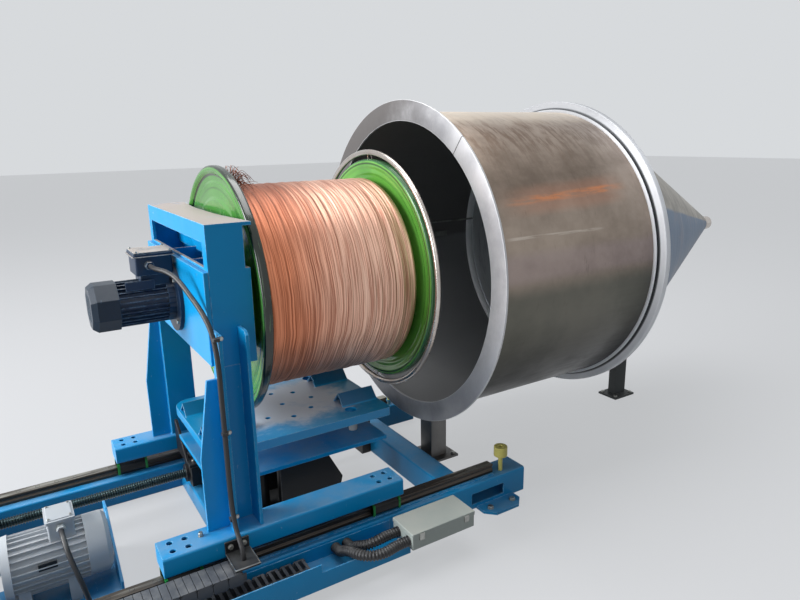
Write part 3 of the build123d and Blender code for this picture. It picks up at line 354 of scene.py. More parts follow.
world = bpy.data.worlds.new("studio")
bpy.context.scene.world = world
world.use_nodes = True
sky = Nodes(world.node_tree)
background = sky.tree.nodes["Background"].inputs
pale = sky.backdrop((0.22, 0.24, 0.27, 1), (0.68, 0.70, 0.72, 1))
sky.tree.links.new(pale.socket, background["Color"])
background["Strength"].default_value = 1.0
bpy.context.scene.view_settings.view_transform = "Standard"

for name, place, aim, width, power, colour in (
        ("main_lamp", (-7.0, 1.5, 3.2), (-0.7, 0, 0.7), 4.0, 660, (0.97, 0.98, 1.0)),
        ("low_lamp", (-7.0, -0.3, 1.6), (-0.7, 0, 0.8), 2.8, 165, (0.96, 0.98, 1.0)),
        ("top_lamp", (-0.2, 0.6, 4.8), (-0.2, 0, 0.6), 3.4, 170, (1.0, 1.0, 1.0)),
        ("front_lamp", (-1.2, -5.6, 3.6), (-0.2, 0, 0.8), 2.4, 24, (1.0, 0.98, 0.95))):
    light = bpy.data.lights.new(name, "AREA")
    light.size, light.energy, light.color = width, power, colour
    back = unit(np.subtract(place, aim))
    side = unit(np.cross((0.0, 0.0, 1.0), back))
    stand(added(name, light), side, np.cross(back, side), back, place)
    print(name, "at", place, power, "W")

# %% [markdown]
# Machine enamel is sprayed on and then lives in a workshop: a fine orange peel, faces that
# differ a little in tone, dust where a face looks up, and chips along the edges. Each of these
# is one mask. The edge mask compares the face's direction with the one that it would have if
# its edges were rounded.

# %% Painted steel
def enamel(name, colour, chip, gloss, dust, wear, grey=(0.42, 0.42, 0.40, 1), soil=0.35, cover=(0.3, 0.72)):
    """Sprayed paint: tone by noise, dust by upward faces, chips by edges, soil near the floor."""
    f, colour = Finish(name, colour, gloss, coat=0.05), linear(colour)
    f.shader["Specular IOR Level"].default_value = 0.3
    shade = tuple(0.78 * c for c in colour[:3]) + (1,)
    toned = f.mix(f.step(f.noise(2.6, 4), 0.35, 0.7) * 0.4, colour, shade)
    up = f.facing()[2]
    dusty = f.step(up, 0.5, 0.98) * f.step(f.noise(7, 6, 0.66), *cover) * dust
    edge = f.worn_edge(0.004)
    chipped = f.step(edge, 0.03, 0.16) * f.step(f.noise(38, 5, 0.65), 0.40, 0.56) * wear
    scratch = f.step(f.grain((90, 14, 40), 3, 0.6, (0.5, 0.3, 0.7)), 0.70, 0.76) * wear * 0.5
    low = f.step(f.z * -1, -0.16, 0.0) * f.noise(9, 4) * soil
    soiled = f.mix(low, f.mix(dusty, toned, grey), (0.05, 0.05, 0.05, 1))
    return f.feed(Base_Color=f.mix(chipped.most(scratch), soiled, chip),
                  Roughness=f.noise(14, 3) * 0.16 + dusty * 0.5 + chipped * 0.2 + (gloss - 0.06),
                  Normal=f.bump(f.noise(240, 2), 0.0005, 0.25))


def pressed_green():
    """Green enamel over a pressing: painted shade in its groove, crease and rim, worn on its rim, scuffed
    on the web, one green per flange as painted light.
    """
    f = Finish("green_paint", (84, 170, 40), 0.2, coat=0.4)
    radius, left = f.from_axis(), f.step(f.x, -0.6, -0.7)
    cloud = f.step(f.noise(4, 4), 0.35, 0.7) * 0.6
    scuff = f.step(f.grain((30, 55, 16), 5, 0.72), 0.56, 0.70) * f.step(radius, 0.36, 0.2)
    # The groove line and the crease line are painted shade in the pressing's recesses.
    groove = f.ring(radius, 0.3855 - left * 0.0140, 0.0050) * (0.75 + left * 0.2)
    crease = f.ring(radius, 0.3300, 0.0022) * left * 0.6
    # The right flange's inner face gets a lighter green than the left flange's outer face, though both are
    # one paint: painted light.
    web = f.painted(f.mix(left, f.mix(cloud, (104, 172, 70), (58, 132, 34)),
                          f.mix(cloud, (78, 140, 56), (50, 106, 34))),
                    (scuff * 0.35, (182, 200, 176)), (groove.most(crease), (16, 24, 12)))
    rim = f.step(radius + (f.noise(24, 4, 0.6) - 0.5) * 0.005, 0.3915, 0.3955)
    strip = f.vector(radius * 420 + f.x * 160, f.y * 9, f.z * 9)
    rubbed = f.step(f.noise(1.0, 4, 0.62, strip), 0.60, 0.70)
    bare = f.mix(left, (86, 150, 118), (112, 140, 104))
    # The rolled rim's dark green, near black on the left flange, is painted shade; the rubbed streaks over
    # it are wear.
    rolled = f.mix(rubbed * (0.35 + left * 0.4), f.mix(left, (40, 100, 48), (22, 34, 22)), bare)
    return f.feed(Base_Color=f.mix(rim, web, rolled),
                  Roughness=f.noise(16, 3) * 0.14 + rubbed * rim * 0.2 + scuff * 0.2 + 0.16,
                  Normal=f.bump(f.noise(60, 3), 0.0008, 0.3))


def worn_table():
    """Blue enamel that loads have rubbed to grey in the middle of the table's top, the grey paler than bare
    metal as painted light, with pale edges that are partly painted highlight.
    """
    f = Finish("worn_table", (0, 146, 205), 0.36, coat=0.15)
    up, table_middle = f.step(f.facing()[2], 0.8, 0.98), 0.66
    middle = f.step(((f.x + table_middle) * 0.8).size().most(f.y.size()), 0.27, 0.08)
    cloud = f.step(f.noise(7, 6, 0.68) + (middle - 0.5) * 0.5, 0.36, 0.72)
    rubbed = f.step(f.grain((26, 60, 8), 5, 0.7, (0, 0, 0.5)), 0.52, 0.68) * middle
    block = f.step(f.z, 0.393, 0.396)
    # The rubbed grey is partly wear and partly painted light, paler than bare metal to offset the shade
    # under the bobbin.
    worn = (cloud * 0.85).most(rubbed * 0.7) * up * (1 - block)
    # The pale edge colour is partly chips and partly a painted highlight.
    edge = f.step(f.worn_edge(0.004), 0.03, 0.16) * f.step(f.noise(34, 5, 0.65), 0.36, 0.52) * 0.8
    colour = f.painted(f.mix(f.noise(5, 4) * 0.5, (6, 148, 204), (4, 118, 176)),
                       (block * 0.6, (14, 76, 116)), (worn, (204, 214, 224)), (edge, (176, 208, 222)))
    return f.feed(Base_Color=colour, Roughness=worn * 0.2 + f.noise(20, 4) * 0.15 + 0.26,
                  Normal=f.bump(f.noise(90, 3), 0.0006, 0.3))


# Each row: paint, chips, gloss, dust, wear, and what else differs from the usual enamel.
# The blue paints' pale chip colour is partly chipped paint and partly a painted highlight along edges that
# catch the light.
blue, chip_and_edge_highlight = (0, 146, 206), (166, 208, 228)
for name, paint, chip, gloss, dust, wear, more in (
        ("blue_paint", blue, chip_and_edge_highlight, 0.34, 0.3, 0.8, {}),
        ("head_paint", blue, chip_and_edge_highlight, 0.34, 1.0, 0.85,
         {"grey": (164, 155, 150), "cover": (0.12, 0.45)}),
        ("box_paint", (166, 174, 168), (214, 218, 216), 0.42, 0.5, 0.5,
         {"grey": (186, 186, 176), "soil": 0.12}),
        ("dark_paint", (58, 62, 62), (110, 110, 105), 0.5, 0.3, 0.4, {}),
        ("motor_navy", (22, 42, 66), (128, 144, 160), 0.36, 0.25, 0.7, {}),
        ("motor_cowl_paint", (18, 36, 52), (96, 122, 140), 0.34, 0.12, 0.5, {}),
        ("cast_grey", (78, 90, 102), (170, 176, 178), 0.44, 0.95, 0.6,
         {"grey": (172, 162, 152), "cover": (0.15, 0.5)}),
        ("motor_aluminium", (178, 183, 188), (212, 214, 212), 0.38, 0.3, 0.6, {"soil": 0.5}),
        ("black_steel", (22, 23, 25), (120, 120, 118), 0.4, 0.12, 0.7, {})):
    finishes[name] = enamel(name, paint, chip, gloss, dust, wear, **more)
finishes["green_paint"] = pressed_green()
finishes["worn_table"] = worn_table()
print("enamels", sorted(finishes))

# %% [markdown]
# Bare metal shows how it was made. Rolled sheet has fine lines along the roll and clouds of
# oil and heat, so its noise is stretched. Copper wire on a bobbin is thousands of strands side
# by side: noise that changes quickly along the axis and slowly round it gives their streaks,
# and a little of another noise added to the axis makes them wander and cross.

# %% Bare metal
def sheet_steel(name, light, dark, roughness, lines, cloud, metallic=0.85):
    """Mill sheet: stretched noise for the roll lines, round noise for the clouds."""
    f = Finish(name, light, roughness, metallic)
    clouds = f.step(f.noise(cloud, 6, 0.6), 0.3, 0.72)
    rolled = f.grain(lines, 5, 0.7, fine=6)
    blotch = f.step(f.noise(cloud * 4.2, 4, 0.55), 0.56, 0.74)
    return f.feed(Base_Color=f.painted(light, (clouds * 0.8, dark), (rolled * 0.4, dark),
                                       (blotch * 0.25, (120, 96, 70))),
                  Roughness=rolled * 0.22 + clouds * 0.14 + (roughness - 0.14),
                  Normal=f.bump(rolled, 0.0006, 0.35))


def copper_wire():
    """Strands by noise that is quick along the axis and slow round it; bands by a slower one."""
    f = Finish("copper_wire", (190, 124, 96), 0.42, 0.8)
    wander = (f.noise(4, 2) - 0.5) * 0.03 + (f.noise(26, 2) - 0.5) * 0.004
    strand = f.noise(1.0, 2, 0.5, f.vector((f.x + wander) * 470, f.y * 4, f.z * 4))
    bunch = f.vector((f.x + wander * 0.6) * 230, f.y * 2.4, f.z * 2.4)
    band = f.step(f.noise(1.0, 4, 0.62, bunch), 0.3, 0.66)
    left = f.step(f.x + (f.noise(3, 2) - 0.5) * 0.2, -0.46, -0.74)
    # Strands shift between a deep and a pale tone; the pale tone, palest and pinkest on the right half, is
    # a painted highlight.
    deep = f.mix(left, (170, 110, 88), (156, 86, 56))
    pale = f.mix(left, (255, 212, 188), (226, 146, 110))
    fleck = f.step(f.noise(17, 4, 0.55), 0.70, 0.78) * 0.5
    # The dark gaps between strands and between bunches are painted shade.
    gap_shade = f.step(strand, 0.34, 0.26) * 0.3 + f.step(band, 0.15, 0.0) * 0.3
    # The darker top of the winding, in the second coat below, is painted shade; the dark flecks are the
    # wire's own.
    colour = f.painted(f.mix(f.step(strand, 0.41, 0.57) * 0.75 + band * 0.25, deep, pale),
                       (f.step(f.z - axis, 0.12, 0.32) * (0.35 + left * 0.4), (96, 50, 34)),
                       ((fleck + gap_shade).least(1.0), (96, 52, 38)))
    return f.feed(Base_Color=colour, Roughness=strand * 0.12 + (1 - band) * 0.1 + 0.36,
                  Normal=f.bump(strand * 0.8 + band * 0.3, 0.0008, 0.5))


def drum_sheet():
    """Rolled sheet: brown clouds and strokes on top, two streaks on its side, a painted highlight on top,
    painted reflections along its near side and painted shade underneath.
    """
    f = Finish("stainless", (170, 158, 146), 0.38, 0.8)
    up, near, radius = f.z - axis, f.step(f.y * -1, 0.0, 0.1), f.from_axis()
    wobble = (f.noise(5, 3) - 0.5) * 0.03
    clouds = f.step(f.noise(3.0, 6, 0.62), 0.34, 0.66)
    strokes = f.grain((46, 9, 9), 5, 0.7, (0.35, 0.0, 0.5))
    fine = f.grain((7, 90, 90), 3, 0.6)
    mottle = f.step(f.grain((9, 60, 60), 5, 0.7), 0.34, 0.66)
    slope = up - f.x * 0.045
    along = f.step(f.x, -0.12, 0.1) * f.step(f.x, 0.54, 0.38) * near
    scrape = f.ring(up, 0.157, 0.0065) * f.step(f.x, -0.11, -0.05) * f.step(f.x, 0.36, 0.3) * near
    # Below, the pale top band is a painted highlight, the pale and the mauve band on the near side are
    # painted reflections, and the greenish grey lower half and the near-black underneath are painted shade.
    # The brown strokes, the orange scorch streaks and the scrape are stains and wear.
    outside = f.painted(
        f.mix(clouds, (166, 150, 136), (118, 104, 92)),
        (f.step(up + wobble, 0.34, 0.5) * f.step(strokes, 0.44, 0.60) * 0.65, (96, 70, 50)),
        (f.step(up + wobble, 0.50, 0.556) * 0.8, (222, 208, 190)),
        (f.ring(up + wobble * 0.2, 0.18, 0.13) * near * 0.25, (186, 172, 158)),
        (f.ring(up, 0.06, 0.07) * near * 0.35, (168, 152, 156)),
        (f.step(up + wobble * 0.3, 0.04, -0.05) * 0.85, (94, 96, 88)),
        (f.step(up, -0.08, -0.42) * 0.9, (26, 26, 28)),
        (f.ring(slope + wobble, 0.262, 0.06) * along * 0.35, (196, 140, 112)),
        (f.ring(slope + wobble * 0.3, 0.267, 0.017) * along * mottle * 0.7, (226, 144, 92)),
        (scrape * f.step(fine, 0.36, 0.55) * 0.7, (206, 194, 182)),
        (f.step(strokes, 0.6, 0.7) * 0.25, (84, 74, 66)))
    # Inside, the lining's lower half is paler than its upper half: painted light.
    inside = f.step(radius, 0.5615, 0.5605)
    lining = f.mix(f.step(up + wobble, 0.0, -0.02), (120, 118, 118), (150, 150, 152))
    return f.feed(Base_Color=f.mix(inside, outside, lining), Metallic=0.78 - inside * 0.5,
                  Roughness=fine * 0.16 + clouds * 0.16 + inside * 0.25 + 0.24,
                  Normal=f.bump(fine * 0.5 + strokes * 0.5, 0.0005, 0.3))


def cone_sheet():
    """Spun sheet: dusty along its top, a painted blue reflection on its near flank, darker below as painted
    shade, plain inside, with turning marks.
    """
    f = Finish("cone_steel", (110, 126, 146), 0.36, 0.65)
    tilt = (f.z - axis) * f.from_axis() ** -1
    marks, patch = f.grain((60, 5, 5), 4, 0.65), f.noise(9, 5, 0.66)
    # The near flank's blue is a painted reflection of the blue machines, darker below as painted shade.
    flank = f.mix(f.step(tilt, 0.1, -0.8), (58, 92, 124), (36, 54, 78))
    dusty = f.mix(f.step(patch, 0.3, 0.7), (168, 161, 150), (116, 110, 98))
    sector = f.step(tilt + (patch - 0.5) * 0.04, 0.36, 0.40).most(f.step(tilt, -0.42, -0.46))
    colour = f.painted(f.mix(f.step(f.y * -1, 0.0, 0.05), (108, 110, 112), flank),
                       (f.step(patch, 0.5, 0.62) * 0.4, (104, 104, 118)))
    colour = f.painted(f.mix(sector, colour, dusty), (f.step(f.facing()[0], 0.0, -0.2), (150, 154, 158)),
                       (f.step(marks, 0.5, 0.7) * 0.4, (70, 78, 90)))
    return f.feed(Base_Color=colour, Roughness=marks * 0.2 + 0.28, Normal=f.bump(marks, 0.0004, 0.3))


def flange_sheet():
    """Flat bar rolled into a ring: fine grinding marks, grey clouds, the dark line of its one joint,
    painted shadow on its far side, a painted blue reflection low down and painted highlights on its edges.
    """
    f = Finish("flange_steel", (182, 184, 186), 0.44, 0.45)
    up, radius = f.z - axis, f.from_axis()
    grind = f.grain((8, 50, 8), 5, 0.7, fine=6)
    clouds = f.step(f.noise(4.0, 6, 0.6), 0.3, 0.72)
    across = (f.y * 0.784 + up * 0.621).size()
    joint = f.step(across, 0.0022, 0.0010) * f.step(up, 0.40, 0.41)
    rim = f.step(radius, 0.6022, 0.6032).most(f.step(radius, 0.5330, 0.5320))
    # The brown-grey far side is a painted shadow, the bluish bottom a painted reflection and the bright
    # edges painted highlights.
    colour = f.painted(f.mix(clouds, (200, 199, 200), (146, 146, 149)),
                       (f.step(f.y + (clouds - 0.5) * 0.2, -0.25, 0.15) * 0.9, (84, 78, 74)),
                       (f.step(up * -1 + f.noise(3, 3) * 0.2, 0.2, 0.5) * 0.4, (104, 112, 124)),
                       (rim * 0.7, (232, 232, 234)), (grind * 0.35, (110, 110, 112)), (joint, (30, 30, 32)))
    return f.feed(Base_Color=colour, Roughness=grind * 0.22 + clouds * 0.14 + 0.3,
                  Normal=f.bump(grind - joint, 0.0008, 0.4))


def ring_sheet():
    """Galvanised ring painted near white all round as painted light, darker towards its top, with painted
    shade in the groove behind its bead.
    """
    f = Finish("ring_paint", (240, 241, 244), 0.45, 0.1)
    cloud, radius = f.step(f.noise(9, 4), 0.3, 0.7), f.from_axis()
    groove = f.step(radius, 0.584, 0.577) * f.step(radius, 0.5605, 0.562) * f.step(f.x, 0.6066, 0.6076)
    # The near-white colour is painted light on a face that the mouth flange shades, and the groove behind
    # the bead is painted shade.
    colour = f.painted(f.mix(cloud * 0.5, (252, 253, 255), (226, 227, 232)),
                       (f.step(f.z - axis, 0.36, 0.58) * 0.8, (128, 130, 134)), (groove, (64, 66, 68)))
    return f.feed(Base_Color=colour, Roughness=cloud * 0.15 + 0.4, Normal=f.bump(cloud, 0.0004, 0.2))


def rail_steel():
    """Ground guide rail: oily dark sides, and a top that the blocks have rubbed bright."""
    f = Finish("guide_steel", (84, 78, 72), 0.36, 0.7)
    streak = f.grain((3, 60, 60), 5, 0.7)
    rubbed = f.step(f.facing()[2], 0.9, 0.98) * f.step(f.grain((2.2, 30, 4), 4, 0.6), 0.42, 0.6)
    colour = f.painted(f.mix(streak, (96, 88, 80), (48, 42, 38)), (rubbed * 0.8, (176, 174, 164)))
    return f.feed(Base_Color=colour, Roughness=streak * 0.2 + 0.26, Normal=f.bump(streak, 0.0006, 0.35))


finishes.update(copper_wire=copper_wire(), stainless=drum_sheet(), cone_steel=cone_sheet(),
                flange_steel=flange_sheet(), ring_paint=ring_sheet(), guide_steel=rail_steel())
# Each row: light and dark tone, roughness, stretch of the roll lines, size of the clouds, metal.
for name, *look in (
        ("leg_steel", (128, 126, 124), (84, 84, 84), 0.4, (60, 6, 6), 2.2),
        ("polished_steel", (214, 208, 202), (168, 154, 144), 0.22, (8, 8, 8), 6, 0.95),
        ("screw_steel", (70, 88, 90), (36, 46, 50), 0.3, (8, 8, 8), 8),
        ("zinc", (186, 188, 184), (128, 128, 124), 0.34, (20, 20, 20), 30, 0.9)):
    finishes[name] = sheet_steel(name, *look)
print("with metals", len(finishes))

# %% [markdown]
# Moulded plastics and rubber have no metal in them. They differ in how rough the mould was,
# how far dust has settled, and whether light comes back as a soft sheen or a clear spot.

# %% Plastics and rubber
def moulded(name, colour, roughness):
    """Moulded plastic or rubber: fine grain in the surface and dust on what looks up."""
    f, colour = Finish(name, colour, roughness), linear(colour)
    dusty = f.step(f.facing()[2], 0.3, 1.0) * f.step(f.noise(18, 4, 0.6), 0.4, 0.7) * 0.3
    tone = f.mix(f.noise(12, 3) * 0.4, colour, tuple(0.6 * c for c in colour[:3]) + (1,))
    return f.feed(Base_Color=f.mix(dusty, tone, (0.3, 0.3, 0.29, 1)),
                  Roughness=f.noise(30, 3) * 0.2 + dusty * 0.4 + (roughness - 0.1),
                  Normal=f.bump(f.noise(420, 2), 0.0004, 0.3))


for name, tint, roughness in (
        ("black_rubber", (32, 32, 34), 0.44), ("chain_plastic", (76, 79, 84), 0.5),
        ("yellow_rubber", (214, 204, 112), 0.45), ("white_plastic", (224, 222, 210), 0.5),
        ("seal_green", (20, 140, 60), 0.5), ("lid_grey", (170, 176, 176), 0.4)):
    finishes[name] = moulded(name, tint, roughness)
print("finishes", len(finishes))

# %% [markdown]
# Every new surface below is a grid of points worked out by numpy. One helper turns grids into
# meshes: neighbours along both directions make the quads, and a closed direction joins its
# last row to its first. A leading direction holds copies, so a row of bolts is one mesh.
# Another helper turns a mesh into a finished piece that rides on its body.

# %% From a grid of points to a finished piece
def grid_mesh(name, points, wrap_u, wrap_v):
    """Quads between neighbours of a (copies, nu, nv, 3) or (nu, nv, 3) array of points."""
    points = np.asarray(points, float)
    if points.ndim == 3:
        points = points[None]
    copies, nu, nv = points.shape[:3]
    index = np.arange(nu * nv).reshape(nu, nv)
    if wrap_u:
        index = np.vstack([index, index[:1]])
    if wrap_v:
        index = np.hstack([index, index[:, :1]])
    quads = np.stack([index[:-1, :-1], index[1:, :-1], index[1:, 1:], index[:-1, 1:]], axis=-1)
    quads = (quads.reshape(1, -1, 4) + (np.arange(copies) * nu * nv)[:, None, None]).reshape(-1, 4)
    mesh = bpy.data.meshes.new(name)
    mesh.vertices.add(copies * nu * nv)
    mesh.vertices.foreach_set("co", points.ravel())
    mesh.loops.add(quads.size)
    mesh.loops.foreach_set("vertex_index", quads.ravel())
    mesh.polygons.add(len(quads))
    mesh.polygons.foreach_set("loop_start", np.arange(len(quads)) * 4)
    mesh.update(calc_edges=True)
    return mesh


def shown(name, mesh, finish, body, slot, crease):
    """An object that shades its mesh smooth up to `crease` degrees, and rides on a body."""
    mesh.shade_smooth()
    mesh.set_sharp_from_angle(angle=radians(crease))
    mesh.materials.append(finishes[finish])
    obj = added(name, mesh)
    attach(obj, body)
    return obj


def piece(name, mesh, finish, body, crease=32, nodes=(), slot=None):
    """A new surface: its doubles are merged and its faces turned outwards."""
    work = bmesh.new()
    work.from_mesh(mesh)
    bmesh.ops.remove_doubles(work, verts=work.verts, dist=1e-6)
    bmesh.ops.dissolve_degenerate(work, edges=work.edges, dist=1e-7)
    bmesh.ops.recalc_face_normals(work, faces=work.faces)
    work.to_mesh(mesh)
    work.free()
    obj = shown(name, mesh, finish, body, slot or (finish if finish in slots else "black_steel"), crease)
    if nodes:
        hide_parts(*nodes)
    return obj


def surface(name, points, wraps, finish, body, crease=60, nodes=(), slot=None):
    """A grid of points as a finished piece. `wraps` says which of its two directions are closed."""
    return piece(name, grid_mesh(name, points, *wraps), finish, body, crease, nodes, slot)


def ease_edges(obj, width):
    """Rounds an object's edges by `width` millimetres, in two steps."""
    bevel = obj.modifiers.new("edges", "BEVEL")
    bevel.width, bevel.segments, bevel.harden_normals = width / 1000, 2, True
    return bevel


# %% [markdown]
# Plates and sections are already right in the frame, but a CAD edge is infinitely sharp and
# never catches the light. Each such node is copied, its triangles are joined back into flat
# faces, and a Bevel modifier rounds the edges by the millimetre or two that a real cut edge,
# a casting or a folded sheet has.

# %% Rounded copies of the frame's plates
def eased(node, width, finish):
    """A copy of a CAD node with its flat faces joined and its edges rounded by `width` millimetres."""
    mesh = frame["nodes"][node].data.copy()
    mesh.name = node + "_skin"
    mesh.materials.clear()
    work = bmesh.new()
    work.from_mesh(mesh)
    bmesh.ops.remove_doubles(work, verts=work.verts, dist=2e-6)
    bmesh.ops.dissolve_limit(work, angle_limit=radians(1.0), verts=work.verts, edges=work.edges)
    work.to_mesh(mesh)
    work.free()
    obj = shown(node + "_skin", mesh, finish, body_of[node], slot_of[node], 30)
    bevel = ease_edges(obj, width)
    bevel.limit_method, bevel.angle_limit = "ANGLE", radians(35)
    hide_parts(node)


# The drive plate's dark finish stands partly for the shadow that falls between the crosshead and the
# bobbin's left flange.
edge_widths = {
    "rail_beams": 1.2, "right_cross_beam": 1.0, "middle_cross_beam": 1.0, "left_cross_beam": 1.0,
    "guide_rails": 0.8, "screw_bearings": 3.0, "motor_base": 1.5, "drive_motor": 1.2,
    "drive_motor_cowl": 1.5, "belt_guard": 1.0, "chain_tray": 0.8, "cable_chain": 0.7,
    "junction_box": 2.0, "end_stops": 2.5, "lift_base": 1.5, "drum_front_leg": 1.5,
    "drum_rear_leg": 1.5, "side_beams": 1.2, "guide_blocks": 1.5, "near_column": 1.5,
    "far_column": 1.5, "crosshead": 1.5, "motor_plate": 2.0, "spindle_housing": 2.0,
    "spindle_motor": 1.2, "spindle_motor_cowl": 3.0, "nut_bracket": 1.5, "screw_nut": 2.5,
    "chain_bracket": 1.0, "spindle": 3.0, "drive_plate": 1.5, "lift_table": 1.5,
    "lift_deck": 1.5, "deck_buffers": 3.0, "lift_rods": 1.5}
own_finish = {"crosshead": "head_paint", "lift_table": "worn_table", "drum_front_leg": "leg_steel",
              "spindle_motor_cowl": "motor_cowl_paint", "spindle_housing": "cast_grey"}
for node, width in edge_widths.items():
    eased(node, width, own_finish.get(node, slot_of[node]))
print("rounded", len(edge_widths), "nodes")

# %% [markdown]
# Lids, bare plates, clips and latches are small boxes with eased edges. All the boxes of one
# piece are one mesh: each box's eight corners are its lowest corner plus a pattern of noughts
# and ones times its size.

# %% Small boxes
def slabs(name, boxes, finish, body, width=0.8, slot="black_steel"):
    """Boxes given by their lowest and highest corners in millimetres, with rounded edges."""
    low, high = np.array(boxes, float).transpose(1, 0, 2) / 1000
    pattern = np.array([(i, j, k) for i in (0, 1) for j in (0, 1) for k in (0, 1)])
    corners = low[:, None] + pattern * (high - low)[:, None]
    sides = np.array([(0, 1, 3, 2), (4, 6, 7, 5), (0, 4, 5, 1), (2, 3, 7, 6), (0, 2, 6, 4), (1, 5, 7, 3)])
    mesh = bpy.data.meshes.new(name)
    mesh.from_pydata(corners.reshape(-1, 3).tolist(), [],
                     (sides + 8 * np.arange(len(low))[:, None, None]).reshape(-1, 4).tolist())
    ease_edges(piece(name, mesh, finish, body, 30, slot=slot), width)


box_low, box_high = 1000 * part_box("junction_box")[0], 1000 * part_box("junction_box")[1]
slabs("box_latches", [((x - 9, box_low[1] - 3, box_high[2] - 26), (x + 9, box_low[1] + 1, box_high[2] - 3))
                      for x in (box_low[0] + 34, box_high[0] - 34)], "zinc", "root", 1.0, "polished_steel")
slabs("drive_motor_lid", [((-1435, -143, 269.5), (-1369, -57, 273))], "motor_aluminium", "root", 1.5,
      "motor_aluminium")
slabs("spindle_motor_lid", [((-1105, -57, 987.5), (-995, 57, 993)), ((-1111, -61, 978), (-989, 61, 981))],
      "cast_grey", "carriage", 2.0, "motor_navy")
rail_y = 380
seal_parts = [((-36, 109), (-19, 146)), ((19, 109), (36, 146)), ((-28, 133), (28, 159.5))]
slabs("block_seals", [((x, side * rail_y + a, low), (x + 8, side * rail_y + b, high))
                      for side in (-1, 1) for x in (-1184, -1087, -529, -432)
                      for (a, low), (b, high) in seal_parts],
      "seal_green", "carriage", 0.6, "white_plastic")
slabs("bracket_edge", [((-1021, -526, 177.5), (-949, -523, 180)),
                       ((-951, -523, 177.5), (-949, -440, 180)),
                       ((-1021, -523, 177.5), (-1019, -440, 180))],
      "zinc", "carriage", 0.5, "polished_steel")
cable_x, cable_y = cable_routes["motor_cable"][8][:2]
clip_heights = (274, 534, 803)
slabs("cable_clips", [box for z in clip_heights for box in
                      [((cable_x - 8.5, cable_y - 8.5, z - 5), (cable_x + 8, cable_y + 8, z + 5)),
                       ((cable_x, -421, z - 5), (-968, -417, z + 5))]],
      "black_rubber", "carriage", 1.5, "black_rubber")
slabs("spindle_nameplate", [((-1138, -57, 882), (-1056, -53, 909))], "motor_navy", "carriage", 0.4,
      "motor_navy")
slabs("drive_nameplate", [((-1473, -186, 150), (-1425, -183, 172))], "black_steel", "root", 0.4)
slabs("inner_seam", [((-120, 549, 894), (639, 554, 902)), ((385, 547, 826), (471, 553.5, 850))],
      "zinc", "root", 1.0, "polished_steel")
print("clips at", clip_heights)

# %% [markdown]
# Turned and spun parts are a profile carried round the spindle's axis. The profile is a short
# list of corners. A real pressing has no sharp ones, so each corner becomes a parabola that
# leaves and joins its two runs smoothly.

# %% Turned surfaces
def polar(x, radius, angle, height=axis):
    """Points round a level axis: x stays, y = r sin(a), z = height + r cos(a)."""
    y, z = radius * np.sin(angle), height + radius * np.cos(angle)
    return np.stack(np.broadcast_arrays(x, y, z), axis=-1)


def full_turn(steps):
    """Angles at equal steps round a whole turn, without the last, which is the first again."""
    return np.linspace(0, 2 * pi, steps, endpoint=False)


def softened(corners, ease, steps):
    """Corner c becomes (1-t)^2 a + 2t(1-t) c + t^2 b, with a and b up to `ease` away on its runs."""
    corner = np.array(corners, float)
    before, after = np.roll(corner, 1, axis=0) - corner, np.roll(corner, -1, axis=0) - corner
    share = [np.minimum(ease / np.linalg.norm(run, axis=1), 0.48)[:, None] for run in (before, after)]
    t = np.linspace(0, 1, steps)[None, :, None]
    a, b = (corner + share[0] * before)[:, None], (corner + share[1] * after)[:, None]
    c = corner[:, None]
    return ((1 - t) ** 2 * a + 2 * t * (1 - t) * c + t ** 2 * b).reshape(-1, 2)


def revolved(profile, around, height=axis):
    """A profile of places and radii, (x, r), carried round the axis."""
    x, r = np.array(profile, float).T
    return polar(x[None], r, full_turn(around)[:, None], height)


def turned(name, corners, ease, finish, body, node, around, steps):
    """A closed turned shell that stands for one CAD node."""
    points = revolved(softened(corners, ease, steps), around)
    surface(name, points, (True, True), finish, body, 32, (node,), slot_of[node])


# %% [markdown]
# The bobbin is pressed from sheet: a rolled rim, a groove behind it that painted shade darkens,
# and a dished web with a stiffening step. Both flanges are the same pressing, mirrored. The
# right one is seen from inside, between the wound copper and the rim.

# %% Bobbin flanges
bore, barrel_radius, flange_radius = 0.0403, 0.2, 0.4
left_face, right_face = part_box("bobbin_barrel")[0][0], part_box("bobbin_barrel")[1][0]
flange_corners = [(0, bore), (0, .196), (.0095, .232), (.0105, .345), (.0062, .3525), (.0065, .366),
                  (.0038, .3715), (.0, .379), (-.0002, .392), (.0045, .3998), (.0150, flange_radius),
                  (.0255, .3998), (.0302, .392), (.0300, .384), (.0245, .3772), (.0192, .3705),
                  (.0188, .360), (.0170, .3535), (.0196, .347), (.0184, .339), (.0184, .300),
                  (.0214, .293), (.0214, .205), (.0186, .197), (.0186, .114), (.0300, .091), (.0300, bore)]
for side, face, name in ((-1, left_face, "bobbin_left_flange"), (1, right_face, "bobbin_right_flange")):
    pressed = [(face + side * x, r) for x, r in flange_corners]
    turned(name + "_pressing", pressed, 0.004, "green_paint", "bobbin", name, 180, 3)
print("flanges from", round(left_face, 3), "to", round(right_face, 3))

# %% [markdown]
# The wound copper is one surface whose radius swells and sinks a little: broad lows where
# layers changed, and a fine ripple from strand to strand. The streaks themselves are in the
# material. Its two ends close down to the barrel.

# %% Copper winding
def smooth_noise(shape, waves, seed):
    """A sum of cosines with random direction and phase that closes round the first direction."""
    random = np.random.default_rng(seed)
    u = full_turn(shape[0])[:, None]
    v = np.linspace(0, 2 * pi, shape[1])[None]
    total = np.zeros(shape)
    for _ in range(waves):
        round_it, along_it = random.integers(-4, 5) * u, random.uniform(0.5, 24) * v
        total += np.cos(round_it + along_it + random.uniform(0, 2 * pi))
    return total / waves ** 0.5


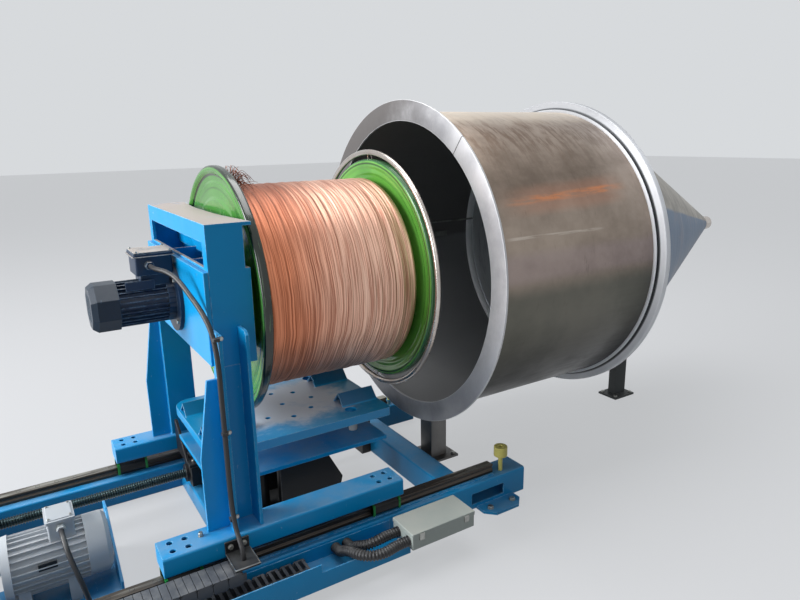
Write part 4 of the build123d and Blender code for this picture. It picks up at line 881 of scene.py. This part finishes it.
wound_radius, swell, ripple, ripple_pitch, end_round = 0.3345, 0.0009, 0.0004, 0.0105, 0.006
rows, cols = 180, 200
copper_low, copper_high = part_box("copper_winding")
x = np.linspace(copper_low[0], copper_high[0], cols)
fall = np.minimum(np.minimum(x - x[0], x[-1] - x) / end_round, 1.0)[None]
radius = (wound_radius + swell * smooth_noise((rows, cols), 26, 4)
          + ripple * np.cos(2 * pi * x / ripple_pitch)[None] - 0.004 * (1 - fall) ** 2)
closing = np.full((rows, 1), barrel_radius + 0.0003)
radius = np.hstack([closing, radius, closing])
winding = polar(np.hstack([x[:1], x, x[-1:]])[None], radius, full_turn(rows)[:, None])
surface("copper_strands", winding, (True, True), "copper_wire", "bobbin", 50, ("copper_winding",))
print("copper radius", round(float(radius[:, 1:-1].min()), 4), "to", round(float(radius.max()), 4))

# %% [markdown]
# A tube along a path is a circle carried in a frame: the path's own direction, and two
# directions across it. The frame comes from one fixed direction that the path never takes, so
# the whole tube is one array. A ripple along the path turns the same tube into corrugated
# conduit or a weld bead.

# %% Tubes along a path
def tube(path, radius, around, away, closed=False):
    """Point p of the path plus r cos(a) times one cross direction plus r sin(a) times the other."""
    path = np.array(path, float)
    ahead = np.roll(path, -1, axis=0) - np.roll(path, 1, axis=0) if closed else np.gradient(path, axis=0)
    along = unit(ahead)
    first = unit(np.cross(along, away))
    second = np.cross(along, first)
    angle = full_turn(around)[None, :, None]
    radius = np.broadcast_to(np.asarray(radius, float), len(path))[:, None, None]
    body = path[:, None] + radius * (np.cos(angle) * first[:, None] + np.sin(angle) * second[:, None])
    if closed:
        return body
    ends = [np.repeat(path[k][None, None], around, axis=1) for k in (0, -1)]
    return np.concatenate([ends[0], body, ends[1]])


def resampled(path, step):
    """Points along a path at equal distances of about `step`, by linear interpolation."""
    path = np.array(path, float)
    run = np.r_[0, np.linalg.norm(np.diff(path, axis=0), axis=1).cumsum()]
    at = np.linspace(0, run[-1], max(int(run[-1] / step), 1) + 1)
    return np.stack([np.interp(at, run, path[:, k]) for k in range(3)], axis=1)


ring_radius, ring_wire, hook_wire = 0.424, 0.0098, 0.0014
ring_low, ring_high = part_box("wire_ring")
ring_x = (ring_low[0] + ring_high[0]) / 2
around_ring = tube(polar(ring_x, ring_radius, full_turn(220)), ring_wire, 14, (1, 0, 0), closed=True)
surface("guide_ring", around_ring, (True, True), "polished_steel", "bobbin", nodes=("wire_ring",))
hooks = []
t = np.linspace(0, 1, 24)[:, None]
reach, sway = 0.3965 + 0.03 * np.sin(pi * t) ** 0.8, 0.014 * np.cos(pi * t)
for k in range(6):
    turn = pi / 2 - (2 * pi * k / 6 + pi / 6)
    out, side = np.array([[0, np.sin(turn), np.cos(turn)], [0, np.cos(turn), -np.sin(turn)]])
    hook = (ring_x, 0, axis) + (0.004 * np.cos(2 * pi * t)) * [1, 0, 0] + out * reach + side * sway
    hooks.append(tube(hook, hook_wire, 6, (1, 0.3, 0.2)))
surface("ring_hooks", hooks, (False, True), "polished_steel", "bobbin")
print("ring at x", round(ring_x, 3), "hooks", len(hooks))

# %% [markdown]
# Each column stands on its side beam in a run of fillet welds. A weld is a small tube whose
# radius rises and falls once for every dab of the torch.

# %% Welds at the columns' feet
def weld_bead(start, end, width=0.0036, dab=0.0045):
    """A tube along a straight run, of radius width * (1 + 0.22 |sin(pi s / dab)|), thin at both ends."""
    path = resampled([start, end], 0.0012)
    s = np.linspace(0, 1, len(path)) * np.linalg.norm(np.subtract(end, start))
    fade = np.clip(np.minimum(s, s[-1] - s) / 0.004, 0.3, 1)
    return tube(path, width * fade * (1 + 0.22 * np.abs(np.sin(pi * s / dab))), 8, (0.1, 0.1, 1))


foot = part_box("side_beams")[1][2]
column_low, column_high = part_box("near_column")
for where, side in (("near", -1), ("far", 1)):
    inner, outer = side * -column_high[1], side * -column_low[1]
    runs = [((-0.9795, outer, foot), (-0.9795, inner, foot)),
            ((-0.8975, outer, foot), (-0.8975, side * 0.351, foot)),
            ((-0.978, inner, foot), (-0.882, inner, foot))]
    for k, (start, end) in enumerate(runs):
        surface(f"weld_{where}_{k}", weld_bead(start, end), (False, True), "blue_paint", "carriage")
    print("welds at the", where, "column", len(runs))

# %% [markdown]
# A few strands have sprung loose where the winding meets the left flange. Each is a fine tube
# on its own arc. Ninety of them are one mesh.

# %% Sprung strands
random = np.random.default_rng(11)
strands, strand_wire = [], 0.0006
t = np.linspace(0, 1, 12)
for _ in range(90):
    start = random.uniform(0.02, 0.30)
    x0 = left_face + random.uniform(0.004, 0.03)
    lift = random.uniform(0.012, 0.066) * np.sin(pi * t * random.uniform(0.55, 1.0))
    turn = start + random.uniform(-0.16, 0.16) * t - 0.33
    strand = polar(x0 + random.uniform(-0.006, 0.06) * t ** 1.5, 0.3335 + lift, turn)
    strands.append(tube(strand, strand_wire, 5, (1, 0.1, 0.2)))
surface("sprung_strands", strands, (False, True), "copper_wire", "bobbin")
print("strands", len(strands))

# %% [markdown]
# The drum is rolled sheet between a flat mouth flange and a bright ring that the cone is
# bolted to. The shell and the cone keep their thin walls, because the mouth shows the inside.
# Each profile below is a list of places along the axis and radii.

# %% Drum, ring, cone and eyelet
mouth, shell_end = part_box("drum_mouth_flange")[0][0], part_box("drum_shell")[1][0]
lip = mouth + .008  # where the mouth flange ends and the shell starts
inner, outer = .559, .563  # the shell's radii
ring_start, cone_start, eyelet_start, tip = .600, .642, 1.731, 1.791
turned("mouth_flange", [(mouth, .531), (mouth, .604), (lip, .604), (lip, .531)], 0.0012,
       "flange_steel", "root", "drum_mouth_flange", 260, 3)
turned("rolled_shell", [(lip, inner), (lip, .5628), (.10, outer), (.30, .5627), (shell_end, outer),
                        (shell_end, inner), (.30, .5588), (.10, inner)], 0.001,
       "stainless", "root", "drum_shell", 260, 3)
turned("rear_ring", [(ring_start, inner), (ring_start, .568), (.6022, .5742), (.6058, .5742),
                     (.6078, .5665), (.6155, .5655), (.616, .604), (.6185, .606), (.6395, .606),
                     (cone_start, .604), (cone_start, inner)], 0.0016,
       "ring_paint", "root", "drum_rear_ring", 260, 3)
turned("spun_cone", [(cone_start, inner), (cone_start, outer), (.66, .5545), (1.725, .045),
                     (eyelet_start, .0418), (eyelet_start, .038), (1.722, .041), (.66, .549)], 0.003,
       "cone_steel", "root", "outlet_cone", 220, 4)
turned("drawn_eyelet", [(eyelet_start, .02), (eyelet_start, .0418), (1.737, .0418), (1.739, .034),
                        (1.787, .034), (tip, .030), (tip, .024), (1.786, .02)], 0.003,
       "polished_steel", "root", "outlet_eyelet", 64, 4)
turned("barrel_tube", [(left_face, bore), (left_face, barrel_radius), (right_face, barrel_radius),
                       (right_face, bore)], 0.002, "green_paint", "bobbin", "bobbin_barrel", 96, 2)
print("drum from", round(mouth, 3), "to", tip)

# %% [markdown]
# Small fasteners hold the eye when a picture is looked at closely. A hexagon bolt is rings of
# points whose radius follows the hexagon: the distance to a flat side divided by the cosine of
# the angle from its middle. One grid gives one bolt, and frames of three directions copy it.

# %% Shapes of bolts
twelfths = full_turn(12)


def hexagon(flat):
    """The radius of a hexagon at twelve angles: flat / cos(angle from the nearest side's middle)."""
    return flat / np.cos((twelfths + pi / 6) % (pi / 3) - pi / 6)


def stacked(rings, size=1.0):
    """Rings of twelve points, each a radius and a height, the height in units of `size`."""
    across, up = np.cos(twelfths), np.sin(twelfths)
    return np.stack([np.stack(np.broadcast_arrays(r * across, r * up, h * size), axis=1)
                     for r, h in rings], axis=1)


def bolt_shape(size, height=0.65, washer=0.18):
    """Washer, hexagon head and chamfered top, as rings from the seat to the middle of the head."""
    flat, rim, top = 0.86 * size, 1.12 * size, washer + height
    return stacked([(0, -0.05), (rim, -0.05), (rim, washer), (hexagon(flat), washer),
                    (hexagon(flat), washer + 0.85 * height), (0.93 * flat, top), (0, top)], size)


def socket_shape(size):
    """A round socket-head cap with its sunk hexagon."""
    return stacked([(0, 0), (size, 0), (size, 0.85), (0.9 * size, 1.0), (hexagon(0.5 * size), 1.0),
                    (hexagon(0.48 * size), 0.45), (0, 0.45)], size)


def copies(shape, places, outward):
    """A (nu, nv, 3) shape at every place, turned so that its own z is the outward direction."""
    out = unit(np.broadcast_to(np.array(outward, float), np.shape(places)))
    other = np.where(np.abs(out[:, :1]) > 0.7, [[0.0, 0.0, 1.0]], [[1.0, 0.0, 0.0]])
    first = unit(np.cross(other, out))
    turn = np.stack([first, np.cross(out, first), out], axis=-1)
    return np.einsum("kij,uvj->kuvi", turn, shape) + np.array(places, float)[:, None, None]


print("points in a bolt", bolt_shape(0.01)[..., 0].size)

# %% [markdown]
# The table below is the machine's list of fasteners: a shape, the places of its copies in
# millimetres, the direction that it faces, the body it rides on, and its finish and slot where
# they aren't plain zinc. The caps close the holes of the guide rails' screws.

# %% Bolts, screws and glands
upward, towards_camera, drive_end = (0, 0, 1), (0, -1, 0), (-1, 0, 0)
rail_cap = stacked([(0.0075, -.0006), (0.0072, 0.0), (0.0064, 0.0), (0.0058, -.0009), (0, -.0009)])
black, gland = ("black_steel", "black_steel"), bolt_shape(0.0125, 1.0)
drum_leg_places = [(x, y, 10) for x, y in ((-108, -58), (-108, 58), (58, -58), (58, 58))]
drum_leg_places += [(x, y, 10) for x in (1100, 1208) for y in (-40, 40)]
motor_flange_places = polar(-999, 92, pi / 4 + pi / 2 * np.arange(4), 1000 * axis)


def places(xs, ys, z):
    """Every pair of the places along x and across y, at one height."""
    return [(x, y, z) for x in xs for y in ys]


fasteners = [
    ("rail_anchor_bolts", bolt_shape(0.011),
     [(x, y, 10) for y in (-466, 466) for x in (-1626, -1524, -76, 26)], upward, "root"),
    ("drum_leg_bolts", bolt_shape(0.009), drum_leg_places, upward, "root"),
    ("motor_flange_bolts", bolt_shape(0.008), motor_flange_places, drive_end, "carriage"),
    ("drive_foot_bolts", bolt_shape(0.007), places((-1515, -1390), (-186, -14), 14), upward, "root"),
    ("bearing_bolts", socket_shape(0.0065), places((-1605, -235), (172, 228), 155), upward, "root", *black),
    ("nut_bolts", socket_shape(0.007), places((-948, -896), (176, 224), 172), upward, "carriage"),
    ("nut_bracket_bolts", bolt_shape(0.009), places((-948, -900), (240,), 172), upward, "carriage"),
    ("rail_hole_caps", rail_cap, [(x, y, 132.4) for y in (-rail_y, rail_y) for x in range(-1685, -20, 60)],
     upward, "root", *black),
    ("clip_bolts", bolt_shape(0.0052), [(-974, -421, z) for z in clip_heights], towards_camera, "carriage"),
    ("stud_on_beam", bolt_shape(0.007, 1.6), [(-1069, -374, 220)], upward, "carriage"),
    ("lid_screws", socket_shape(0.0035), places((-1430, -1374), (-138, -62), 273), upward, "root"),
    ("spindle_lid_screws", socket_shape(0.004), places((-1098, -1002), (-50, 50), 993), upward, "carriage"),
    ("drive_gland", gland, [(-1402, -146.5, 244)], towards_camera, "root", "lid_grey", "white_plastic"),
    ("spindle_gland", gland, [(-1065, -55.5, 953)], towards_camera, "carriage", "cast_grey", "motor_navy"),
    ("chain_bracket_bolts", bolt_shape(0.0075), places((-1004, -966), (-436,), 196), towards_camera,
     "carriage"),
]
for name, shape, where, outward, body, *look in fasteners:
    finish, slot = look or ("zinc", "polished_steel")
    points = copies(shape, np.array(where) / 1000, outward)
    surface(name, points, (True, False), finish, body, 28, slot=slot)
print("kinds of fastener", len(fasteners))

# %% [markdown]
# The lead screw is one surface too. Walking round it once also walks one pitch along it, so
# the radius depends on the place along the screw less the part of a turn: a trapezium of
# crest, flank and root.

# %% Lead screw
def threaded(x0, x1, root, crest, pitch, y, z, around=18, per_pitch=6):
    """radius = root + (crest - root) * trapezium(x / pitch - angle / 2 pi)"""
    x = np.linspace(x0, x1, int((x1 - x0) / pitch * per_pitch))[None]
    a = full_turn(around)[:, None]
    phase = (x / pitch - a / (2 * pi)) % 1.0
    swell = np.clip(1.5 - 3.2 * np.abs(phase - 0.5) * 2, 0, 1)
    end = np.clip(np.minimum(x - x0, x1 - x) / 0.004, 0, 1)
    r = root + (crest - root) * swell * end
    return np.stack(np.broadcast_arrays(x, y + r * np.cos(a), z + r * np.sin(a)), axis=-1)


screw_low, screw_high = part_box("lead_screw")
thread_start, thread_end, screw_y, screw_z = -1.578, -0.262, 0.2, 0.121
screw_root, screw_crest, screw_pitch = 0.0145, 0.018, 0.008
thread = threaded(thread_start, thread_end, screw_root, screw_crest, screw_pitch, screw_y, screw_z)
surface("screw_thread", thread, (True, False), "screw_steel", "root", 40, ("lead_screw",), "black_steel")
ends = ((screw_low[0], thread_start + 0.001), (thread_end - 0.001, screw_high[0]))
for k, (a, b) in enumerate(ends):
    journal = revolved([(a, 0), (a, screw_root), (b, screw_root), (b, 0)], 18, 0) + [0, screw_y, screw_z]
    surface(f"screw_journal_{k}", journal, (True, False), "guide_steel", "root", 32, slot="black_steel")
print("screw", round(screw_low[0], 3), "to", round(screw_high[0], 3))

# %% [markdown]
# The cables follow the splines from above. Two of them are plain round cable and stay curves
# with a bevel. The two conduits are corrugated, so their tube's radius ripples along the path
# that Blender's spline gives.

# %% Cables and conduits
cable_size, conduit_size, conduit_pitch = 0.014, 0.0325, 0.009
for name, lay in (("motor_cable", "taut"), ("drive_motor_cable", "loose")):
    obj = route(name + "_sheath", cable_routes[name], cable_size / 2)
    obj.data.materials.append(finishes["black_rubber"])
    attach(obj, body_of[name])
    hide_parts(name)
for name in ("far_conduit", "near_conduit"):
    line = cable_lines[name]
    path = resampled(line, 0.0011)
    along = np.linspace(0, run_length(line), len(path))
    radius = 0.0147 + 0.0016 * np.clip(1.5 * np.cos(2 * pi * along / conduit_pitch), -1, 1)
    hose = tube(path, radius, 16, (0.0, 0.0, 1.0))
    obj = surface(name + "_tube", hose, (False, True), "black_rubber", "root", nodes=(name,))
    print(name, "ripples", round(run_length(line) / conduit_pitch))
